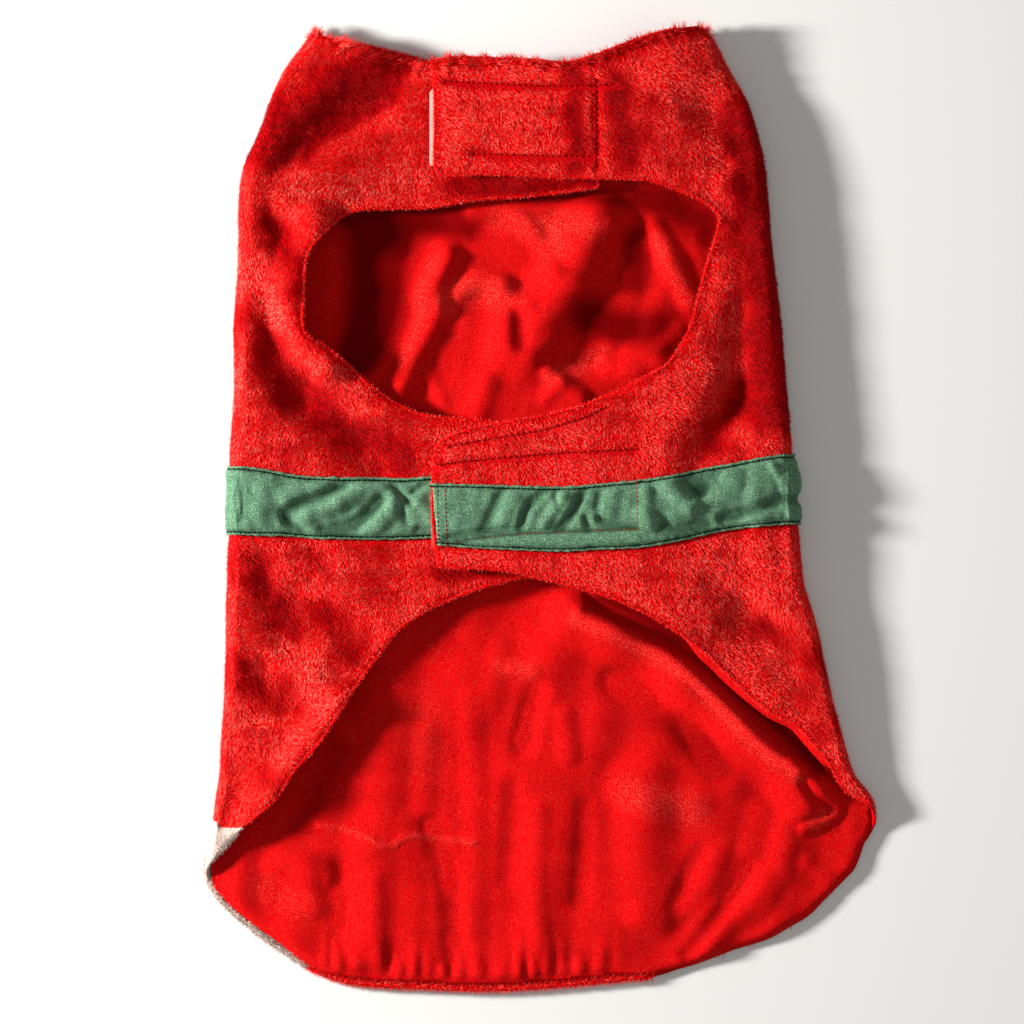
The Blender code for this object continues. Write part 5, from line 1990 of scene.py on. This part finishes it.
    def side_run(self, side: Side, low: float, high: float, beyond: float) -> Array:
        """A run beside a side fold, from one y to another, some way beyond the fold's start."""
        y = np.append(np.arange(low, high, self.side_step), high)
        return np.column_stack([FORM.fold_top(side, y) + side.value * beyond, y])

    def build_plush(self) -> Piece:
        """The back's plush with its pile, flat on the surface."""
        seam = evenly(np.array(self.inset_seam, float), self.seam_step)
        left = self.side_run(Side.LEFT, self.inset_seam[1][1], self.neck[0][1], -UNDERLAP)
        right = self.side_run(Side.RIGHT, self.hem[-1][1], self.neck[-1][1], -UNDERLAP)
        hem, neck = curve(self.hem, self.edge_step), curve(self.neck, self.edge_step)
        lines = [self.belt_run(edge, margin) for edge in Edge for margin in self.belt_margins]
        panel = Panel(self.under, join(seam, left, neck, right[::-1], hem[::-1]), self.under_step, lines)
        shell = panel.piece("back_plush", BACKING)
        solidify(shell, GROUND_WALL, outward=False)
        show(shell, self.shop.finishes.red_ground, ["back_shell"])
        base = panel.piece("ground", BACKING - ROOT)
        pattern = uv_points(base)
        upper, lower = self.under_edges(pattern[:, 0])
        outside = np.maximum(pattern[:, 1] - upper, lower - pattern[:, 1])
        bare = smoothstep(distance(pattern, curve(self.hem, 4.0)), *self.hem_bare)
        angle = self.nap + self.nap_drift.at(pattern) + self.tuft_drift.at(pattern)
        set_attribute(base.data, "cover", smoothstep(outside, *self.belt_bare) * bare)
        set_attribute(base.data, "height", np.ones(len(pattern)))
        set_attribute(base.data, "brush_and_shade", np.clip(self.brush_drift.at(pattern), -1, 1))
        set_attribute(base.data, "nap", self.under.toward(pattern, angle))
        pile = self.shop.grow("back_pile", base, 1.05, 4.8, self.shop.finishes.red_pile, rise=0.12,
                              scatter=0.16, width=0.55)
        show(pile)
        return shell

    def under_edges(self, x: Array) -> tuple[Array, Array]:
        """y of the belt's two edges under the coat, straight from side to side."""
        left, right = (self.belt_end(side) for side in Side)
        t = (x - left) / (right - left)
        upper, lower = (
            float(read_table(self.belt.edges[Side.LEFT], left, edge.value)) * (1 - t)
            + float(read_table(self.belt.edges[Side.RIGHT], right, edge.value)) * t
            for edge in Edge
        )
        return upper, lower

    def belt_end(self, side: Side) -> float:
        """x where the belt turns round a side fold."""
        return float(FORM.fold_top(side, self.belt_level))

    def belt_run(self, edge: Edge, margin: float) -> Array:
        """A run along the belt across the back, with a margin outside its edge."""
        x = np.linspace(*self.belt_reach, 80)
        upper, lower = self.under_edges(x)
        return np.column_stack([x, upper + margin if edge is Edge.UPPER else lower - margin])

    def belt_out(self, pattern: Array) -> Array:
        """How far the belt lies out of the back, with its two turned edges."""
        upper, lower = self.under_edges(pattern[:, 0])
        away = np.minimum(upper - pattern[:, 1], pattern[:, 1] - lower)
        return self.belt_seat + self.belt_edge.over(away) + self.belt_drift.at(pattern)

    def build_belt(self) -> None:
        """The belt across the back."""
        share = np.linspace(0, 1, 18)
        ends = []
        for side in Side:
            x = np.full(len(share), self.belt_end(side) - side.value * UNDERLAP)
            upper, lower = self.under_edges(x)
            ends.append(np.column_stack([x, lower + (upper - lower) * share]))
        left, right = ends
        top, bottom = np.linspace(left[-1], right[-1], 130), np.linspace(left[0], right[0], 130)
        panel = Panel(self.under, join(left, top, right[::-1], bottom[::-1]), self.belt_step)
        piece = panel.piece("belt_under_satin", self.belt_out)
        solidify(piece, BAND_WALL)
        show(piece, self.shop.finishes.green_satin, ["belt_under"])
        x = np.linspace(left[0][0], right[0][0], 60)
        upper, lower = self.under_edges(x)
        runs = [evenly(np.column_stack([x, y]), 2.0)
                for y in (upper - self.belt_topstitch, lower + self.belt_topstitch)]
        thread = self.shop.sew("belt_under_topstitch", self.under, runs, 2.2, self.shop.finishes.green_thread,
                               thickness=0.4)
        show(thread)

    def build_lining(self) -> None:
        """The satin lining, with its folds and the gathers along the hem."""
        left = self.side_run(Side.LEFT, -184.0, 231.0, self.lining_turn)
        right = self.side_run(Side.RIGHT, -138.0, 232.0, self.lining_turn)
        neck = curve([(x, y - self.neck_inset) for x, y in self.neck], 2.5)
        outline = join(left, neck, right[::-1], self.hem_run()[::-1])
        sharp = [curve(fold.path, 1.2) for fold in self.fine_folds if fold.width < self.sharp_width]
        panel = Panel(self.lining, outline, self.step, sharp, self.shows)
        # light and shade painted on the satin
        piece = panel.piece("back_lining_satin", 0.0, painted_light=lambda at: lift_of(self.painted_light_patches, at))
        solidify(piece, LINING_WALL)
        show(piece, self.shop.finishes.red_satin, ["back_lining"])

    def build_hem(self) -> None:
        """The plush rim that shows round the lining at the hem, and the strip behind the neck."""
        finishes = self.shop.finishes
        hem = curve([self.rim_start, *(point for point in self.hem if point[0] < self.rim_end)], RIM_STEP)
        surface = level(RIM_HEIGHT)
        for name, run, cord in (("hem_rim", hem, self.hem_cord),
                                ("neck_rim", curve(self.neck, RIM_STEP), self.neck_cord)):
            self.shop.furry_cord(name, surface, run, cord, "red_plush", finishes.red_edge, finishes.red_pile)
        inner = hem + self.overcast_inset * unit(np.array(self.hem_middle) - hem)
        overcast = self.shop.sew("hem_overcast", surface, [inner], 2.0, finishes.red_thread, slant=62.0,
                                 length=2.6, thickness=0.4)
        show(overcast)

    def build(self) -> None:
        """Build the whole back."""
        self.build_plush()
        self.build_lining()
        self.build_belt()
        self.build_hem()


@dataclass
class Tapes:
    """The hook and loop tapes of the two closures, loops on the left strap and hooks under the right one."""

    shop: Workshop
    fronts: dict[Side, Front]
    edge_step: float = 3.0
    step: float = 6.0
    # low x, high x, low y, high y
    neck: dict[Side, Span] = by_side((-46.0, 25.0, 174.0, 210.0), (-55.6, 27.0, 170.5, 208.5))
    belly: dict[Side, Span] = by_side((-44.0, 45.0, -15.0, 9.0), (-54.6, 47.0, -19.0, 16.0))

    def build(self) -> None:
        """Build the four tapes."""
        for place, spans in (("neck", self.neck), ("belly", self.belly)):
            for side, kind, out in ((Side.LEFT, "loop", TAPE_SEAT), (Side.RIGHT, "hook", HOOK_SEAT)):
                self.build_tape(f"{place}_{kind}_tape", side, spans[side], out)

    def build_tape(self, name: str, side: Side, span: Span, out: float) -> None:
        """Build a tape.

        Args:
            name: The name of the solid that it stands for.
            side: The side of the coat that it is sewn to.
            span: Its low x, high x, low y and high y.
            out: How far out of the plush's inner face it lies.
        """
        low_x, high_x, low_y, high_y = span
        corners = [(low_x, low_y), (high_x, low_y), (high_x, high_y), (low_x, high_y), (low_x, low_y)]
        outline = FORM.on_top(side, evenly(np.array(corners), self.edge_step)[:-1])
        piece = Panel(self.fronts[side].surface, outline, self.step).piece(f"{name}_felt", out)
        solidify(piece, TAPE_WALL)
        finishes = self.shop.finishes
        finish = finishes.pale_tape if name == "neck_hook_tape" else finishes.red_tape
        show(piece, finish, [name])


def uv_points(piece: Piece) -> Array:
    """The pattern's point for each point of a piece, in millimetres, from its UV map."""
    mesh = piece.data
    uv = np.empty(len(mesh.loops) * 2, np.float32)
    mesh.uv_layers[CLOTH_MAP].data.foreach_get("uv", uv)
    points = np.zeros((len(mesh.vertices), 2))
    points[corner_points(mesh)] = uv.reshape(-1, 2) / MM
    return points


class Lamp(NamedTuple):
    """A soft square lamp that is aimed at the coat's middle."""

    name: str
    place: tuple[float, float, float]
    size: float
    watts: float

    def build(self) -> None:
        """Set the lamp up."""
        data = bpy.data.lights.new(self.name, "AREA")
        data.size = self.size * MM
        data.energy = self.watts
        lamp = add_object(self.name, data)
        lamp.location = Vector(self.place) * MM
        lamp.rotation_euler = (-lamp.location).to_track_quat("-Z", "Y").to_euler()


@dataclass(frozen=True)
class Studio:
    """A plain pale floor, soft light with its key from the upper left, and the camera above the coat."""

    aim: Point = (-14.5, -2.25)
    height: float = 2400.0
    field_of_view: float = 512.0
    coat_level: float = 8.0
    sensor: float = 36.0
    sight: float = 20.0  # how far the camera sees, in metres
    floor_size: float = 6000.0
    floor_dark: str = "#D2D0CC"
    floor_light: str = "#D6D4D0"
    floor_grain: float = 1 / 0.9
    world_light: float = 0.26
    lamps: tuple[Lamp, ...] = (
        Lamp("key", (-1690, 250, 600), 230, 110.0),
        Lamp("fill", (1200, -300, 1300), 1200, 4.0),
        Lamp("top", (0, 200, 2200), 1400, 4.0),
    )

    def build(self) -> None:
        """Set up the floor, the lights and the camera."""
        self.floor()
        for lamp in self.lamps:
            lamp.build()
        world = bpy.data.worlds.new("studio")
        world.use_nodes = True
        tree = world.node_tree
        feed(tree, tree.nodes["Background"], {"Color": (1, 1, 1, 1), "Strength": self.world_light})
        bpy.context.scene.world = world
        bpy.context.scene.view_settings.view_transform = "Standard"
        data = bpy.data.cameras.new("camera")
        data.sensor_width = self.sensor
        data.lens = self.sensor * (self.height - self.coat_level) / self.field_of_view
        data.clip_end = self.sight
        camera = add_object("camera", data)
        camera.location = (self.aim[0] * MM, self.aim[1] * MM, self.height * MM)
        bpy.context.scene.camera = camera

    def floor(self) -> None:
        """The floor, which isn't part of the coat."""
        half = self.floor_size / 2
        corners = np.array([(-half, -half, 0), (half, -half, 0), (half, half, 0), (-half, half, 0)], float)
        floor = mesh_object("floor", corners, [(0, 1, 2, 3)], smooth=False)
        material, tree, shader = new_material("matt_paper", 0.85, 0.0, 0.2)
        tint = add_node(tree, "ShaderNodeMix", {
            "Factor_Float": (add_grain(tree, self.floor_grain), "Fac"),
            "A_Color": linear(self.floor_dark), "B_Color": linear(self.floor_light),
        }, data_type="RGBA")
        feed(tree, shader, {"Base Color": (tint, "Result_Color")})
        floor.data.materials.append(material)


def left_front(belt: Belt, shop: Workshop) -> Front:
    """The left front, whose straps lie under the right ones."""

    def covered(seen: Array) -> Array:
        """Where the right straps lie over the left ones."""
        x, y = seen.T
        neck = (x > -50) & (y > 168)
        belly = (x > -49) & (y > -27) & (y < 28)
        return neck | belly

    return Front(
        side=Side.LEFT,
        name="left",
        neck=((-100, 233), (-85, 227.5), (-70, 223), (-55, 219.5), (-15, 217.5), (28, 218)),
        strap_end=((28, 218), (28, 160)),
        opening=(
            (28, 160), (-2, 156), (-32, 154), (-55, 150), (-73, 149.5), (-89, 149), (-98, 146), (-107, 139),
            (-114, 131), (-117.5, 123), (-119, 102), (-118, 87), (-109, 80.5), (-99, 73), (-89, 64),
            (-78.5, 55), (-68.5, 50), (-58.5, 46), (-30, 43), (10, 39), (49, 36),
        ),
        belly_end=((49, 36), (49, -35)),
        tail=(
            (49, -35), (20, -34), (-5, -34), (-30, -40), (-43, -45), (-53, -49), (-63.5, -55), (-73.5, -63),
            (-80.5, -73), (-89, -84), (-99, -99), (-110, -116), (-123, -131), (-133, -145), (-149, -160),
            (-156.5, -169),
        ),
        neck_crossing=(236, 238, 237),
        hem_crossing=(-176, -184, -192),
        strip_neck=231.5,
        under_hem=((-160, -199), (-153, -205), (-145.5, -211), (-138, -217), (-128, -224), (-120.5, -229),
                   (-110.5, -233)),
        under_seam=((-110.5, -233), (-150.1, -157)),
        cut=(190.0, 425.0),
        lining_cut=(175.0, 410.0),
        belt_cut=(150.0, 40.0),
        parting=(),
        # brushing with painted shade and painted highlights; the strips below the right straps' edges are
        # painted shadow
        brush_and_shade_patches=fold_table(
            (23, 1.7, (-134, 185), (-106, 203), (-80, 217)),
            (7, 0.5, (-136, 172), (-104, 189), (-76, 206)),
            (15, 0.9, (-136, 140), (-122, 126), (-118, 112)),
            (17, 1.0, (-150, 100), (-124, 62), (-98, 40), (-70, 26)),
            (15, 0.8, (-146, -26), (-124, -60)),
            (13, 0.7, (-112, -50), (-90, -66)),
            (14, 0.7, (-150, -80), (-128, -96)),
            (12, 0.4, (-150, -128), (-132, -138)),
            (9, 1.7, (-42, 162), (-10, 159), (26, 159)),
            (7, 1.0, (-52, -33), (-20, -30), (20, -31)),
            (12, -0.7, (-130, 162), (-92, 160), (-66, 166)),
            (12, -0.6, (-142, 112), (-132, 96)),
            (8, -0.5, (-150, 150), (-146, 60)),
            (14, -0.8, (-100, -100), (-120, -124)),
            (10, -0.6, (-134, -66), (-108, -86)),
        ),
        peek=fold_table((16, 2.4, (-150, -160), (-120, -128), (-96, -95))),
        nap=math.radians(-112),
        belt=belt,
        shop=shop,
        covered=covered,
        seam_y=-157.0,
    )


def right_front(belt: Belt, shop: Workshop) -> Front:
    """The right front, whose straps lap over the left ones."""
    return Front(
        side=Side.RIGHT,
        name="right",
        neck=((70, 239), (60, 237), (50, 234), (34, 228), (20, 223), (10, 221.5), (-5, 223), (-43, 224),
              (-54.5, 222)),
        strap_end=((-54.5, 222), (-53.2, 210), (-52.8, 190), (-53.0, 171), (-50, 166)),
        opening=(
            (-50, 166), (-21, 166), (10, 164.5), (50, 163.5), (67, 159), (79, 154), (88.5, 146), (87.5, 136),
            (83, 122), (78.5, 105), (75, 91), (68, 78), (61.5, 70), (50, 64), (27, 53), (4, 46), (-30, 40),
            (-48, 34), (-53, 28),
        ),
        belly_end=((-53, 28), (-54, 10), (-53.5, -10), (-51, -29)),
        tail=(
            (-51, -29), (-40, -30), (-20, -31), (0, -35), (15, -39), (30, -43), (45, -49), (58.5, -56),
            (71, -64), (86, -76), (96, -86), (106, -95), (115, -102), (127, -108), (136, -118), (144.5, -128),
            (149.5, -138), (156, -145),
        ),
        neck_crossing=(240, 239, 237),
        hem_crossing=(-148, -156, -165),
        strip_neck=234.0,
        under_hem=((161.5, -169), (159.5, -175), (157, -181), (154, -184)),
        under_seam=((154, -184), (153.5, -184)),
        cut=(215.0, 415.0),
        lining_cut=(200.0, 400.0),
        belt_cut=(225.0, 42.0),
        parting=(
            Seam(0.9, ((2, 219.2), (8.5, 219.5), (25.5, 221.2), (47.5, 229.7), (69, 236.5), (78, 238.3))),
            Seam(1.0, ((-48.5, 212.2), (-24.5, 211.2), (-5.5, 210), (26.5, 210), (34.5, 210.7))),
            Seam(0.9, ((27, 212.2), (27, 170.2))),
            Seam(1.0, ((-34.5, 176.2), (23, 174.7))),
            Seam(0.65, ((-50, 21.5), (-43, 22.7), (-10.5, 25.7), (9.5, 27.2), (47.5, 29.2))),
            Seam(0.4, ((-46, 30.6), (-25.7, 34.2), (0.8, 38.7), (20.5, 44.7), (32, 50))),
        ),
        # brushing with painted shade and painted highlights; the long strip down the right side is painted
        # shade
        brush_and_shade_patches=fold_table(
            (9, 1.3, (14, 214), (16, 170)),
            (12, 1.2, (36, 212), (42, 174)),
            (11, 0.6, (54, 200), (56, 182)),
            (11, 0.8, (92, 200), (96, 180)),
            (22, 1.4, (104, 190), (106, 160), (112, 120), (114, 80), (116, 50)),
            (14, 0.9, (98, 58), (84, 32)),
            (13, 0.6, (104, -56), (140, -80)),
            (10, 0.5, (130, -90), (142, -112)),
            (14, -0.7, (60, 214), (78, 200)),
            (10, -0.6, (70, 176), (90, 168)),
            (24, -0.9, (40, -40), (80, -36), (112, -34)),
            (14, -0.5, (-30, 210), (6, 206)),
            (14, -0.6, (-30, 196), (6, 188)),
        ),
        peek=fold_table((22, 5.2, (84, -74), (104, -92), (127, -108), (146, -130))),
        nap=math.radians(-80),
        belt=belt,
        shop=shop,
    )


def main() -> None:
    """Build the coat and the studio."""
    logging.basicConfig(level=logging.INFO, format="%(name)s: %(message)s")
    shop, belt = Workshop(), Belt()
    left, right = left_front(belt, shop), right_front(belt, shop)
    Back(shop, belt).build()
    left.build()
    Inset(left, shop).build()
    right.build()
    Tapes(shop, {Side.LEFT: left, Side.RIGHT: right}).build()
    Studio().build()


if __name__ == "__main__":
    main()
